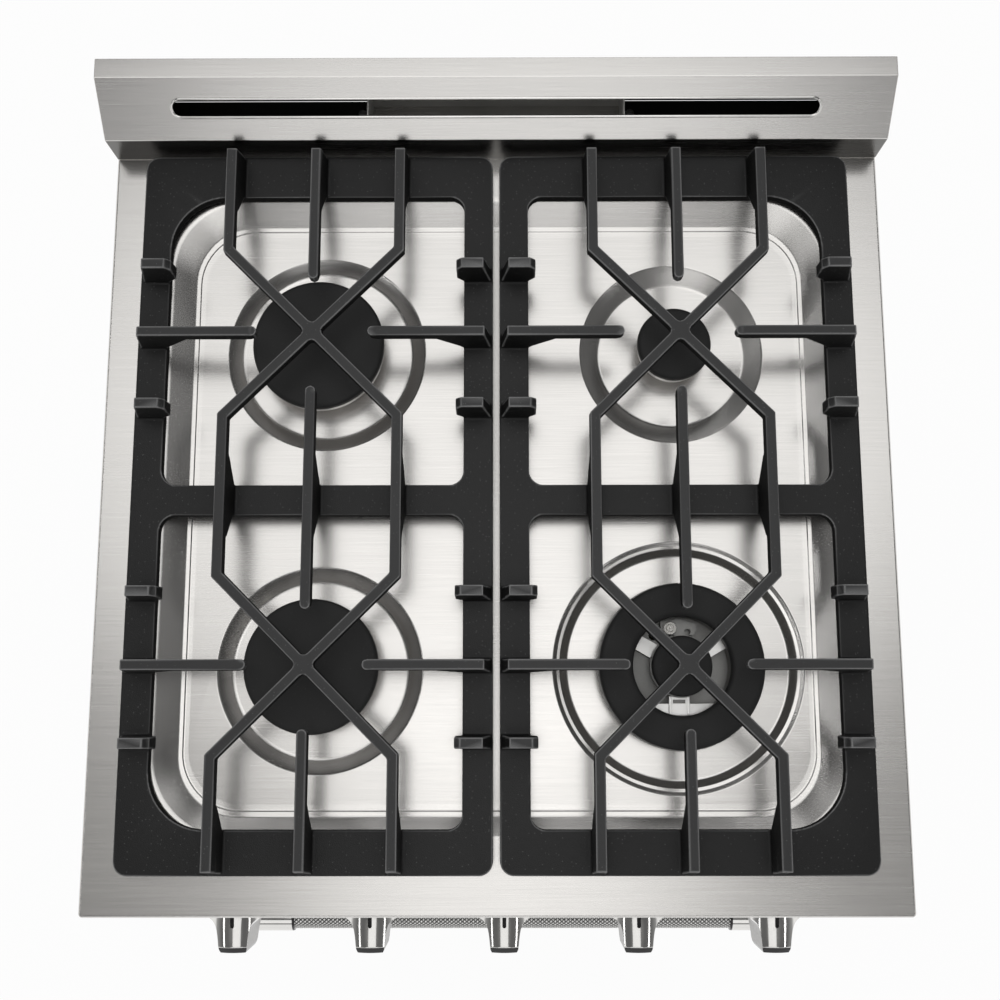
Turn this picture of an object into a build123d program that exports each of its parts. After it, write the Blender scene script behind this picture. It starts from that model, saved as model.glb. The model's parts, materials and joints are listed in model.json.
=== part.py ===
"""Freestanding gas range of the 24 inch class: four burners, five knobs, one oven.

Millimetres, +Z up, the front faces -Y and the floor is Z = 0.  Places on the cooktop are
given as a distance behind its front edge and a height above its rim, through top_y and top_z.
"""
import os
from math import atan2, cos, sin

from build123d import *

# ---- driving dimensions ---------------------------------------------------------------
WIDTH = 607.0                 # across the cooktop
TOP_DEPTH = 635.0             # cooktop front edge to the back of the vent guard
RIM_Z = 914.0                 # cooktop rim above the floor
FRONT_REACH = 38.0            # the handle stands this far ahead of the cooktop
SHEET = 1.2                   # steel sheet
FRONT_Y = (FRONT_REACH - TOP_DEPTH) / 2
BACK_Y = FRONT_Y + TOP_DEPTH - 2 * SHEET

# body
BODY_X = 298.5                # outer face of the side panels
FRAME_Y = -228.0              # front face of the oven's front frame
BASE_Z = 100.0                # underside of the base pan
FRAME_LOW, FRAME_HIGH = 188.0, 786.0

# oven cavity, inner faces
OVEN_X = 226.0
OVEN_FRONT, OVEN_BACK = -226.5, 193.5
OVEN_FLOOR, OVEN_ROOF = 260.0, 680.0
BURNER_BOX_LOW = 214.0        # bottom of the bake burner's compartment
BLANKET = 24.0                # insulation thickness
RACK_LEVELS = (330.0, 420.0, 510.0, 600.0)
RAIL_X, RAIL_R = 217.5, 3.0

# door
DOOR_X = 296.0
DOOR_LOW, DOOR_HIGH = 196.0, 780.0
DOOR_FACE, DOOR_REAR = -272.5, -232.5
LINER_DEPTH = 4.0
WINDOW_X, WINDOW_LOW, WINDOW_HIGH = 172.0, 330.0, 612.0
PIVOT_Y, PIVOT_Z = -244.5, 208.0
HINGE_X, PIN_R, PIN_FIT = 250.0, 4.0, 0.06

# controls and handle
KNOB_OFFSET, HANDLE_OFFSET = 5.5, 12.0   # both are centred a little right of the middle
KNOB_SPREAD = (-205.5, -101.5, 0.0, 101.5, 205.5)
KNOB_NAMES = ("back_left", "front_left", "oven", "front_right", "back_right")
KNOB_Z = RIM_Z - 68.0
PANEL_FACE = FRONT_Y + 3.0
PANEL_LOW, PANEL_HIGH = 792.0, 906.0
KNOB_R, KNOB_GAP, KNOB_PUSH = 27.0, 4.0, 3.0
KNOB_FRONT = FRONT_Y - 32.6
STEM_R, STEM_FIT, STEM_FLAT, STEM_REACH = 4.0, 0.06, 2.6, 22.0
HANDLE_Z = RIM_Z - 180.0
SLEEVE_R, GRIP_R, BAR_R = 14.0, 12.3, 10.8
HANDLE_Y = FRONT_Y - FRONT_REACH + SLEEVE_R
HANDLE_HALF, GRIP_HALF, POST_X = 240.0, 186.0, 214.0

# cooktop pan
SKIRT = 32.0
PAN_FLOOR = -11.0
WELL_FLOOR = -18.0
RECESS = ((0.0, 520.0, 496.0, 304.0, 57.0),      # height, width, depth, centre, corner radius
          (-6.0, 484.0, 464.0, 300.0, 48.0),
          (PAN_FLOOR, 466.0, 441.0, 300.5, 40.0))
GUARD_Y = 583.7               # front face of the vent guard, behind the cooktop's edge
GUARD_PROFILE = ((GUARD_Y, 0.0), (GUARD_Y, 33.3), (618.9, 64.4), (TOP_DEPTH, 66.2), (TOP_DEPTH, 0.0))
SLOT_LENGTH, SLOT_WIDTH, SLOT_Y = 495.0, 13.0, 602.0
FLUE_X, FLUE_FRONT, FLUE_BACK, FLUE_TOP = 100.0, 301.5, 331.5, 36.0

# burners: x, distance behind the front edge, cap radius, well radii at the top and the foot
BURNER_X, FRONT_BURNER, BACK_BURNER = 137.5, 180.3, 427.3
BURNERS = {
    "front_left": (-BURNER_X, FRONT_BURNER, 50.1, 77.5, 66.5),
    "back_left": (-BURNER_X, BACK_BURNER, 50.7, 77.5, 66.5),
    "back_right": (BURNER_X, BACK_BURNER, 28.4, 71.6, 57.4),
    "front_right": (BURNER_X, FRONT_BURNER, 61.4, 94.2, 86.0),
}
CROWN_TOP, CAP_TOP = 3.0, 11.6
RING_CAP_R, RING_BORE_R, CENTRE_CAP_R = 61.4, 36.4, 22.4
RING_THROAT = 26.0            # the outer ring's own gas throat, right of the burner's middle
SPARK_ANGLE, SPARK_R, SPARK_RING_R = 128.0, 3.4, 30.0

# grates
GRATE_INNER, GRATE_OUTER = 2.5, 275.3
GRATE_FRONT, GRATE_BACK = 31.0, 578.5
BAND_LOW, BAND_HIGH = 6.0, 15.0
FINGER_LOW, FINGER_HIGH = 33.0, 44.5
FINGER_W = 8.4
INNER_BAND, OUTER_BAND = 24.8, 251.5
FRONT_BAND, MID_FRONT, MID_BACK, REAR_BAND = 63.0, 292.7, 315.6, 544.7
CROSS_HALF = 64.3             # the long bars run this far either side of a burner
WINDOW_BIG_R, WINDOW_SMALL_R = 42.0, 11.0

# legs
LEG_X, LEG_FRONT, LEG_REAR = 262.0, -186.5, 295.5
LEG_R, LEG_LOW, FOOT_R, FOOT_STEM_R, FOOT_FIT = 21.0, 14.0, 24.0, 6.0, 0.08

# gas
INLET_X, INLET_Z, PIPE_R, INLET_R, INLET_LENGTH = 256.0, 232.0, 8.0, 10.6, 20.0
INLET_ROOM = (-74.0, 26.0)    # the rear cover's window, left and right of the inlet
SEAM = 0.2                    # gap between the rear cover's sheets
RISER_Y = 265.5
MANIFOLD_Y, MANIFOLD_R = -236.5, 10.0
TUBE_Z, TUBE_R = 800.0, 3.5


def top_y(distance):
    """Y of a point this far behind the cooktop's front edge."""
    return FRONT_Y + distance


def top_z(height):
    """Z of a point this high above the cooktop's rim."""
    return RIM_Z + height


# ---- small makers ------------------------------------------------------------------------
def block(x, y, z):
    """A box between two values on each axis."""
    middle = ((x[0] + x[1]) / 2, (y[0] + y[1]) / 2, (z[0] + z[1]) / 2)
    return Pos(*middle) * Box(x[1] - x[0], y[1] - y[0], z[1] - z[0])


def rod(start, end, radius):
    """A round bar between two points."""
    line = Vector(*end) - Vector(*start)
    plane = Plane(origin=start, z_dir=line)
    return plane * Cylinder(radius, line.length, align=(Align.CENTER, Align.CENTER, Align.MIN))


def bent_tube(points, radius, bend):
    """A round bar that follows straight runs joined by arcs."""
    path = FilletPolyline(*points, radius=bend)
    return sweep(Plane(origin=path @ 0, z_dir=path % 0) * Circle(radius), path=path)


def turned(points):
    """A solid turned about Z from its (radius, height) outline."""
    outline = make_face(Polyline(*[(r, 0, z) for r, z in points], close=True))
    return revolve(outline, Axis.Z)


def profile_x(points, x_from, x_to):
    """A prism along X from its (y, z) outline."""
    face = make_face(Polyline(*[(x_from, y, z) for y, z in points], close=True))
    return extrude(face, amount=x_to - x_from, dir=(1, 0, 0))


def mirrored(solid):
    """The same solid on the other side of the middle plane."""
    return mirror(solid, Plane.YZ)


def group(solids):
    """Separate solids kept in one node."""
    return Compound(children=list(solids))


# ---- body --------------------------------------------------------------------------------
def side_panel(side):
    """A tall sheet with folded front, back and bottom edges."""
    high = RIM_Z - SHEET
    outer = block((BODY_X - 15, BODY_X), (FRAME_Y + 1.5, BACK_Y - SHEET), (BASE_Z, high))
    inner = block((BODY_X - 16, BODY_X - SHEET), (FRAME_Y + 1.5 + SHEET, BACK_Y - 2 * SHEET),
                  (BASE_Z + SHEET, high + 1))
    panel = outer - inner
    return panel if side > 0 else mirrored(panel)


def base_pan():
    """Floor tray with an upstand all round, held between the side panels."""
    half = BODY_X - SHEET - 0.3
    low, high = BASE_Z + SHEET, BASE_Z + 26
    rim = (FRAME_Y + 26, BACK_Y - 2 * SHEET - 0.3)
    tray = block((-half, half), rim, (low, high))
    hollow = block((-half + SHEET, half - SHEET), (rim[0] + SHEET, rim[1] - SHEET), (low + SHEET, high + 1))
    return tray - hollow


def back_panel():
    """Rear cover: an upper sheet with rows of louvre slots, and three below it round the gas inlet's window."""
    half, sheet = BODY_X - 0.2, (BACK_Y - SHEET, BACK_Y)
    left, right = INLET_X + INLET_ROOM[0], INLET_X + INLET_ROOM[1]
    low, high = INLET_Z - 46, INLET_Z + 46
    upper = block((-half, half), sheet, (high, RIM_Z - SKIRT - 0.3))
    slot = Plane.XZ * SlotOverall(60, 5)
    cutter = extrude(slot, amount=8, both=True)
    for row in range(5):
        for column in (-1.5, -0.5, 0.5, 1.5):
            upper -= Pos(column * 90, BACK_Y, 740 + row * 16) * cutter
    foot = block((-half, half), sheet, (BASE_Z, low))
    wide = block((-half, left), sheet, (low + SEAM, high - SEAM))
    narrow = block((right, half), sheet, (low + SEAM, high - SEAM))
    return group([upper, foot, wide, narrow])


def front_frame():
    """Flat plate round the oven's mouth."""
    plate = block((-DOOR_X, DOOR_X), (FRAME_Y, FRAME_Y + 1.5), (FRAME_LOW, FRAME_HIGH))
    mouth = block((-OVEN_X, OVEN_X), (FRAME_Y - 5, FRAME_Y + 5), (OVEN_FLOOR + 2, OVEN_ROOF))
    return plate - mouth


def kick_panel():
    """Toe board under the door, folded back at the top and the ends."""
    face, deep = FRAME_Y + 9.5, 14.0
    outer = block((-DOOR_X, DOOR_X), (face, face + deep), (BASE_Z + 4, FRAME_LOW - 2))
    inner = block((-DOOR_X + SHEET, DOOR_X - SHEET), (face + SHEET, face + deep + 1),
                  (BASE_Z, FRAME_LOW - 2 - SHEET))
    return outer - inner


def leg(x, y):
    """Tube leg with a square mounting flange and a threaded bore for its foot."""
    tube = rod((x, y, LEG_LOW), (x, y, BASE_Z - 5), LEG_R)
    flange = block((x - 30, x + 30), (y - 30, y + 30), (BASE_Z - 5, BASE_Z))
    bore = rod((x, y, LEG_LOW - 1), (x, y, BASE_Z - 10), FOOT_STEM_R + FOOT_FIT)
    return tube + flange - bore


def leg_places():
    return [(x, y) for y in (LEG_FRONT, LEG_REAR) for x in (-LEG_X, LEG_X)]


def levelling_foot(x, y):
    """Round pad with a hexagon and a threaded stem."""
    pad = turned([(0, 0), (FOOT_R - 3, 0), (FOOT_R, 3), (FOOT_R, 5), (12, LEG_LOW - 6), (0, LEG_LOW - 6)])
    nut = Pos(0, 0, LEG_LOW - 6) * extrude(RegularPolygon(11, 6), 6)
    stem = rod((0, 0, LEG_LOW - 1), (0, 0, 78), FOOT_STEM_R)
    return Pos(x, y, 0) * (pad + nut + stem)


# ---- cooktop -----------------------------------------------------------------------------
def pressed_form(drop, inset):
    """All that lies under the pressed top, lowered by drop and drawn in by inset."""
    half, back = WIDTH / 2 - inset, TOP_DEPTH - 2 * SHEET - inset
    low = RIM_Z - SKIRT - 5 * inset
    form = block((-half, half), (top_y(inset), top_y(back)), (low, RIM_Z - drop))
    if not inset:
        rim = form.edges().group_by(Axis.Z)[-1].sort_by(Axis.Y)[:-1]
        form = fillet(rim, 2.2)
    sections = []
    for height, wide, deep, middle, corner in RECESS:
        plane = Plane(origin=(0, top_y(middle), top_z(height) - drop))
        sections.append(plane * RectangleRounded(wide, deep, corner))
    form -= loft(sections, ruled=True)
    for x, y, _, well_r, foot_r in BURNERS.values():
        depth = PAN_FLOOR - WELL_FLOOR
        well = Cone(foot_r, well_r, depth)
        form -= Pos(x, top_y(y), top_z(WELL_FLOOR) - drop + depth / 2) * well
    return form


def cooktop_panel():
    """Pressed steel top: flat rim, one recess over both sides, a round well at each burner."""
    top = pressed_form(0, 0) - pressed_form(SHEET, SHEET)
    for name, (x, y, cap_r, _, _) in BURNERS.items():
        hole = 46.0 if name == "front_right" else 17.0
        top -= Pos(x, top_y(y), top_z(WELL_FLOOR)) * Cylinder(hole, 12)
        spark_hole = Pos(cap_r - 3, 0, WELL_FLOOR) * Cylinder(SPARK_R + 0.4, 12)
        top -= at_burner(name, Rot(0, 0, SPARK_ANGLE) * spark_hole)
    top -= block((-FLUE_X - 0.5, FLUE_X + 0.5), (FLUE_FRONT - 0.5, FLUE_BACK + 0.5), (RIM_Z - 6, RIM_Z + 6))
    return top


def slope_plane():
    """Plane on the guard's sloped face, at the middle of the slot."""
    (y0, z0), (y1, z1) = GUARD_PROFILE[1], GUARD_PROFILE[2]
    slope = atan2(z1 - z0, y1 - y0)
    height = z0 + (SLOT_Y - y0) * (z1 - z0) / (y1 - y0)
    return Plane(origin=(0, top_y(SLOT_Y), top_z(height)), x_dir=(1, 0, 0),
                 z_dir=(0, -sin(slope), cos(slope)))


def rear_vent_guard():
    """Folded hood along the back edge with one long round-ended vent slot."""
    wall = 1.5
    outer = profile_x([(top_y(y), top_z(z)) for y, z in GUARD_PROFILE], -WIDTH / 2, WIDTH / 2)
    inside = [(GUARD_Y + wall, -1), (GUARD_Y + wall, 33.3 - 0.6), (618.9 + 0.4, 64.4 - wall * 1.15),
              (TOP_DEPTH - wall, 66.2 - wall * 1.1), (TOP_DEPTH - wall, -1)]
    inner = profile_x([(top_y(y), top_z(z)) for y, z in inside], -WIDTH / 2 + wall, WIDTH / 2 - wall)
    slot = extrude(slope_plane() * SlotOverall(SLOT_LENGTH, SLOT_WIDTH), amount=5, both=True)
    return outer - inner - slot


def flue_duct():
    """Sheet duct from the oven's back wall up to the vent guard."""
    low, high = OVEN_ROOF - 44, OVEN_ROOF - 4
    start, top = OVEN_BACK + SHEET, top_z(FLUE_TOP)
    outer = [(start, low), (FLUE_BACK, low), (FLUE_BACK, top), (FLUE_FRONT, top), (FLUE_FRONT, high),
             (start, high)]
    t = SHEET
    inner = [(start - 1, low + t), (FLUE_BACK - t, low + t), (FLUE_BACK - t, top + 1),
             (FLUE_FRONT + t, top + 1), (FLUE_FRONT + t, high - t), (start - 1, high - t)]
    return profile_x(outer, -FLUE_X, FLUE_X) - profile_x(inner, -FLUE_X + t, FLUE_X - t)


# ---- burners -----------------------------------------------------------------------------
def burner_body(cap_r, ports):
    """Cast aluminium burner: foot, throat and a crown with a ring of flame ports."""
    crown = cap_r + 0.8
    points = [(10, -36), (14, -36), (14, WELL_FLOOR), (cap_r - 9, WELL_FLOOR), (cap_r - 9, -10), (crown, -5),
              (crown, CROWN_TOP), (cap_r - 6, CROWN_TOP), (cap_r - 6, -6), (16, -11), (10, -16)]
    body = turned(points)
    port = Pos(cap_r - 2.5, 0, CROWN_TOP) * Box(9, 2.0, 7)
    for index in range(ports):
        body -= Rot(0, 0, (index + 0.5) * 360 / ports) * port
    spark_notch = Rot(0, 0, SPARK_ANGLE) * Pos(cap_r - 3, 0, -4) * Cylinder(5.2, 20)
    return body - spark_notch


def dual_burner_body():
    """Cast body of the double-ring burner: outer channel, centre crown and three bridge arms."""
    outer = turned([(40, WELL_FLOOR), (57, WELL_FLOOR), (57, -9), (62.2, -5), (62.2, CROWN_TOP),
                    (57, CROWN_TOP), (57, -6), (42, -6), (42, CROWN_TOP), (37.2, CROWN_TOP), (37.2, -12),
                    (40, -13)])
    centre = turned([(0, -14), (20, -14), (20, -7), (23.2, -4), (23.2, CROWN_TOP), (18, CROWN_TOP),
                     (18, -5), (0, -5)])
    floor = Pos(0, 0, -16) * Cylinder(41, 4)
    body = outer + centre + floor
    for angle in (30, 150, 270):
        body += Rot(0, 0, angle) * block((19, 38), (-5.5, 5.5), (-14, -4))
    port = Box(8, 2.0, 7)
    for index in range(30):
        body -= Rot(0, 0, (index + 0.5) * 12) * Pos(60, 0, CROWN_TOP) * port
    for index in range(12):
        body -= Rot(0, 0, (index + 0.5) * 30) * Pos(21, 0, CROWN_TOP) * port
    body -= Rot(0, 0, SPARK_ANGLE) * Pos(SPARK_RING_R, 0, -14) * Cylinder(SPARK_R + 0.2, 20)
    for place in (0, RING_THROAT):
        body += Pos(place, 0, -26) * (Cylinder(11, 20) - Cylinder(7, 22))
    return body


def spark_igniter(reach):
    """White insulator with a steel tip, standing beside a crown."""
    stud = turned([(0, -24), (SPARK_R, -24), (SPARK_R, -2), (1.2, 0), (1.2, 2.2), (0, 2.2)])
    return Rot(0, 0, SPARK_ANGLE) * Pos(reach, 0, 0) * stud


def plain_cap(cap_r):
    """Domed enamelled cap with a locating lip under its edge."""
    lip = max(cap_r - 8, 12)
    return turned([(0, 5.5), (lip - 4, 5.5), (lip - 4, 0.5), (lip, 0.5), (lip, CROWN_TOP),
                   (cap_r - 1.2, CROWN_TOP), (cap_r, 4.4), (cap_r, 8.2), (cap_r - 1.4, 10.0),
                   (cap_r - 4.5, 10.9), (0, CAP_TOP)])


def ring_cap():
    """Flat ring cap of the double burner, rounded at both edges."""
    return turned([(RING_BORE_R + 1, CROWN_TOP), (RING_CAP_R - 1.2, CROWN_TOP), (RING_CAP_R, 4.4),
                   (RING_CAP_R, 8.2), (RING_CAP_R - 1.6, 10.2), (RING_CAP_R - 5, 11.2),
                   (RING_BORE_R + 3, 11.2), (RING_BORE_R + 0.8, 10.2), (RING_BORE_R, 8.4),
                   (RING_BORE_R, 4.2)])


def at_burner(name, solid):
    """A burner piece made round the origin, moved to its burner's place."""
    x, y = BURNERS[name][:2]
    return Pos(x, top_y(y), RIM_Z) * solid


# ---- grates ------------------------------------------------------------------------------
GUSSET = FINGER_LOW - BAND_HIGH
END_SLOPE = 5.0


def finger(start, end, seats):
    """An upright rib from start to end along one line.

    seats are the stretches of band under it; the rib runs down to each one and flares at 45
    degrees where it leaves it for the open.
    """
    ribs = [[(start, FINGER_LOW), (end, FINGER_LOW), (end, FINGER_HIGH), (start, FINGER_HIGH)]]
    for low, high in seats:
        foot_low, foot_high = max(low, start), min(high, end)
        flare_low, flare_high = max(foot_low - GUSSET, start), min(foot_high + GUSSET, end)
        outline = [(foot_low, BAND_HIGH - 1), (foot_high, BAND_HIGH - 1), (foot_high, BAND_HIGH),
                   (flare_high, BAND_HIGH + flare_high - foot_high), (flare_high, FINGER_LOW + 1),
                   (flare_low, FINGER_LOW + 1), (flare_low, BAND_HIGH + foot_low - flare_low),
                   (foot_low, BAND_HIGH)]
        ribs.append([point for place, point in enumerate(outline) if point != outline[place - 1]])
    return ribs


def rib_solid(outlines, across, along_y, ends):
    """Extrude a finger's outlines at one place, with its outer ends sloped inwards at the top."""
    half = FINGER_W / 2
    solid = None
    for outline in outlines:
        if along_y:
            face = make_face(Polyline(*[(across - half, s, z) for s, z in outline], close=True))
            piece = extrude(face, amount=FINGER_W, dir=(1, 0, 0))
        else:
            face = make_face(Polyline(*[(s, across - half, z) for s, z in outline], close=True))
            piece = extrude(face, amount=FINGER_W, dir=(0, 1, 0))
        solid = piece if solid is None else solid + piece
    for place, inward in ends:
        tri = [(place - inward, BAND_HIGH + 2), (place - inward, FINGER_HIGH + 5),
               (place + inward * END_SLOPE * 1.2, FINGER_HIGH + 5)]
        if along_y:
            face = make_face(Polyline(*[(across - half - 1, s, z) for s, z in tri], close=True))
            solid -= extrude(face, amount=FINGER_W + 2, dir=(1, 0, 0))
        else:
            face = make_face(Polyline(*[(s, across - half - 1, z) for s, z in tri], close=True))
            solid -= extrude(face, amount=FINGER_W + 2, dir=(0, 1, 0))
    return solid


def long_bar(side):
    """A bar from front to back that crosses over at both burners."""
    x0, x1 = BURNER_X - side * CROSS_HALF, BURNER_X + side * CROSS_HALF
    points = [(x0, GRATE_FRONT + 2), (x0, FRONT_BURNER - CROSS_HALF), (x1, FRONT_BURNER + CROSS_HALF),
              (x1, BACK_BURNER - CROSS_HALF), (x0, BACK_BURNER + CROSS_HALF), (x0, GRATE_BACK - 2)]
    line = Polyline(*points)
    bar = extrude(trace(line, FINGER_W), FINGER_HIGH - FINGER_LOW)
    bar = Pos(0, 0, FINGER_LOW) * bar
    for x, start, end in ((x0, GRATE_FRONT + 2, FRONT_BAND + GUSSET),
                          (x0, REAR_BAND - GUSSET, GRATE_BACK - 2),
                          (x1, MID_FRONT - GUSSET, MID_BACK + GUSSET)):
        seats = ((GRATE_FRONT, FRONT_BAND), (MID_FRONT, MID_BACK), (REAR_BAND, GRATE_BACK))
        seats = [(low, high) for low, high in seats if low < end and high > start]
        ends = []
        if start < FRONT_BAND:
            ends.append((start, 1))
        if end > REAR_BAND:
            ends.append((end, -1))
        bar += rib_solid(finger(start, end, seats), x, True, ends)
    return bar


def grate(side):
    """Cast-iron grate over two burners: flat band frame, raised fingers and crossing bars."""
    wide, deep = GRATE_OUTER - GRATE_INNER, GRATE_BACK - GRATE_FRONT
    frame = Plane(origin=((GRATE_OUTER + GRATE_INNER) / 2, (GRATE_FRONT + GRATE_BACK) / 2, BAND_LOW))
    casting = extrude(frame * RectangleRounded(wide, deep, 10), BAND_HIGH - BAND_LOW)
    window_x = (OUTER_BAND + INNER_BAND) / 2
    for low, high in ((FRONT_BAND, MID_FRONT), (MID_BACK, REAR_BAND)):
        plane = Plane(origin=(window_x, (low + high) / 2, BAND_LOW - 1))
        cutter = extrude(plane * Rectangle(OUTER_BAND - INNER_BAND, high - low), BAND_HIGH - BAND_LOW + 2)
        outer_y = low if low == FRONT_BAND else high
        big = [edge for edge in cutter.edges().filter_by(Axis.Z)
               if abs(edge.center().Y - outer_y) < 1 and edge.center().X > window_x]
        cutter = fillet(big, WINDOW_BIG_R)
        corners = [edge for edge in cutter.edges().filter_by(Axis.Z)
                   if min(abs(edge.center().X - x) for x in (INNER_BAND, OUTER_BAND)) < 0.5
                   and min(abs(edge.center().Y - y) for y in (low, high)) < 0.5]
        casting -= fillet(corners, WINDOW_SMALL_R)
    for x in (14.0, GRATE_OUTER - 13):
        for y in (44.0, GRATE_BACK - 14):
            casting += Pos(x, y, BAND_LOW / 2 + 0.5) * Cylinder(8, BAND_LOW + 1)
    casting += long_bar(1)
    casting += long_bar(-1)
    seats = ((GRATE_FRONT, FRONT_BAND), (MID_FRONT, MID_BACK), (REAR_BAND, GRATE_BACK))
    for start, end, ends in ((GRATE_FRONT + 2, 135, [(GRATE_FRONT + 2, 1)]), (220, 385, []),
                             (468, GRATE_BACK - 2, [(GRATE_BACK - 2, -1)])):
        under = [(low, high) for low, high in seats if low < end and high > start]
        casting += rib_solid(finger(start, end, under), BURNER_X, True, ends)
    inner_seat, outer_seat = (GRATE_INNER, INNER_BAND), (OUTER_BAND, GRATE_OUTER)
    for burner in (FRONT_BURNER, BACK_BURNER):
        casting += rib_solid(finger(3.8, 96, [inner_seat]), burner, False, [(3.8, 1)])
        casting += rib_solid(finger(179, 273, [outer_seat]), burner, False, [(273, -1)])
        for y in (burner - 55, burner + 53):
            casting += rib_solid(finger(3.8, 30, [(3.8, 24)]), y, False, [(3.8, 1), (30, -1)])
            casting += rib_solid(finger(247, 273, [(252, 273)]), y, False, [(247, 1), (273, -1)])
    casting = Pos(0, FRONT_Y, RIM_Z) * casting
    return casting if side > 0 else mirrored(casting)


# ---- gas train ---------------------------------------------------------------------------
def knob_x(index):
    """X of a knob, counted from the left."""
    return KNOB_OFFSET + KNOB_SPREAD[index]


VALVE_FRONT = PANEL_FACE + 9.0


def gas_valve(index):
    """Brass valve on the manifold, with a bore for its stem."""
    x = knob_x(index)
    body = block((x - 13, x + 13), (VALVE_FRONT + 6, MANIFOLD_Y - MANIFOLD_R), (KNOB_Z - 14, KNOB_Z + 14))
    nose = rod((x, VALVE_FRONT, KNOB_Z), (x, VALVE_FRONT + 8, KNOB_Z), 10)
    outlet = rod((x, VALVE_FRONT + 18, KNOB_Z - 13), (x, VALVE_FRONT + 18, KNOB_Z - 24), 6.5)
    bore = rod((x, VALVE_FRONT - 1, KNOB_Z), (x, VALVE_FRONT + 12, KNOB_Z), STEM_R + STEM_FIT)
    return body + nose + outlet - bore


def gas_manifold():
    """Manifold pipe behind the control panel, with the tubes that feed the burners."""
    left, right = knob_x(0) - 30, knob_x(4) + 30
    pipe = rod((left, MANIFOLD_Y, KNOB_Z), (right, MANIFOLD_Y, KNOB_Z), MANIFOLD_R)
    tubes = [pipe]
    starts = {"back_left": 0, "front_left": 1, "front_right": 3, "back_right": 4}
    for name, index in starts.items():
        x, y = BURNERS[name][:2]
        valve_x, valve_y = knob_x(index), VALVE_FRONT + 18
        path = [(valve_x, valve_y, KNOB_Z - 24), (valve_x, valve_y, TUBE_Z), (x, top_y(y), TUBE_Z),
                (x, top_y(y), top_z(-37))]
        tube = bent_tube(path, TUBE_R, 12)
        if name == "front_right":
            ring_x, branch_z = x + RING_THROAT, TUBE_Z + 20
            branch = [(x, top_y(y), branch_z), (ring_x, top_y(y), branch_z), (ring_x, top_y(y), top_z(-37))]
            tube += bent_tube(branch, TUBE_R, 12)
        tubes.append(tube)
    return group(tubes)


def gas_inlet_pipe():
    """Riser from the regulator at the back up to the manifold's right end."""
    x = INLET_X
    end = knob_x(4) + 30
    path = [(x, RISER_Y, INLET_Z + 18), (x, RISER_Y, KNOB_Z), (x, MANIFOLD_Y, KNOB_Z),
            (end, MANIFOLD_Y, KNOB_Z)]
    return bent_tube(path, PIPE_R, 14)


def pressure_regulator():
    """Round regulator with a male inlet that faces the back."""
    x, back = INLET_X, RISER_Y + 22
    body = block((x - 21, x + 21), (RISER_Y - 22, back), (INLET_Z - 18, INLET_Z + 18))
    bonnet = rod((x, RISER_Y, INLET_Z - 17), (x, RISER_Y, INLET_Z - 36), 19)
    inlet = rod((x, back - 1, INLET_Z), (x, back + 12 + INLET_LENGTH, INLET_Z), INLET_R)
    collar = Pos(x, back + 6, INLET_Z) * Rot(90, 0, 0) * extrude(RegularPolygon(14, 6), 6, both=True)
    return body + bonnet + collar + inlet


# ---- oven --------------------------------------------------------------------------------
def oven_side_wall(side):
    """Enamelled side sheet of the oven and of the burner compartment under it."""
    deep = (OVEN_FRONT, OVEN_BACK + SHEET)
    wall = block((OVEN_X, OVEN_X + SHEET), deep, (BURNER_BOX_LOW, OVEN_ROOF + SHEET))
    return wall if side > 0 else mirrored(wall)


def oven_floor():
    """Lift-out bottom cover with heat slots along both sides."""
    floor = block((-OVEN_X, OVEN_X), (OVEN_FRONT, OVEN_BACK), (OVEN_FLOOR - SHEET, OVEN_FLOOR))
    slot = extrude(SlotOverall(44, 7, rotation=90), amount=6, both=True)
    for side in (-1, 1):
        for index in range(6):
            floor -= Pos(side * (OVEN_X - 18), -170 + index * 62, OVEN_FLOOR) * slot
    return floor


def oven_roof():
    """Enamelled sheet over the oven."""
    half = OVEN_X - 0.2
    return block((-half, half), (OVEN_FRONT, OVEN_BACK + SHEET), (OVEN_ROOF, OVEN_ROOF + SHEET))


def burner_box_floor():
    """Sheet under the bake burner."""
    return block((-OVEN_X, OVEN_X), (OVEN_FRONT, OVEN_BACK), (BURNER_BOX_LOW, BURNER_BOX_LOW + SHEET))


def oven_back_wall():
    """Back sheet with the flue throat's opening."""
    half = OVEN_X - 0.2
    wall = block((-half, half), (OVEN_BACK, OVEN_BACK + SHEET), (BURNER_BOX_LOW, OVEN_ROOF - 0.2))
    slot = extrude(Plane.XZ * SlotOverall(150, 22), amount=6, both=True)
    return wall - Pos(0, OVEN_BACK, OVEN_ROOF - 24) * slot


def oven_insulation():
    """Mineral blanket round the oven's sides, back, top and bottom."""
    gap = SHEET + 0.2
    half = OVEN_X + gap + BLANKET
    outer = block((-half, half), (OVEN_FRONT + 0.2, OVEN_BACK + gap + BLANKET),
                  (BURNER_BOX_LOW - BLANKET + 2, OVEN_ROOF + gap + BLANKET))
    inner = block((-OVEN_X - gap, OVEN_X + gap), (OVEN_FRONT - 1, OVEN_BACK + gap),
                  (BURNER_BOX_LOW - 0.2, OVEN_ROOF + gap))
    throat = block((-FLUE_X - 0.3, FLUE_X + 0.3), (OVEN_BACK, OVEN_BACK + 60),
                   (OVEN_ROOF - 44.3, OVEN_ROOF - 3.7))
    return outer - inner - throat


def rack_guides():
    """Chromed rails on both side walls: four runners on two posts a side."""
    solids = []
    for side in (-1, 1):
        for level in RACK_LEVELS:
            solids.append(rod((side * RAIL_X, -212, level), (side * RAIL_X, 176, level), RAIL_R))
        for y in (-180, 140):
            post_r = (OVEN_X - RAIL_X - RAIL_R) / 2
            post_x = side * (OVEN_X - post_r)
            solids.append(rod((post_x, y, RACK_LEVELS[0] - 14), (post_x, y, RACK_LEVELS[-1] + 14), post_r))
    return group(solids)


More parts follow.
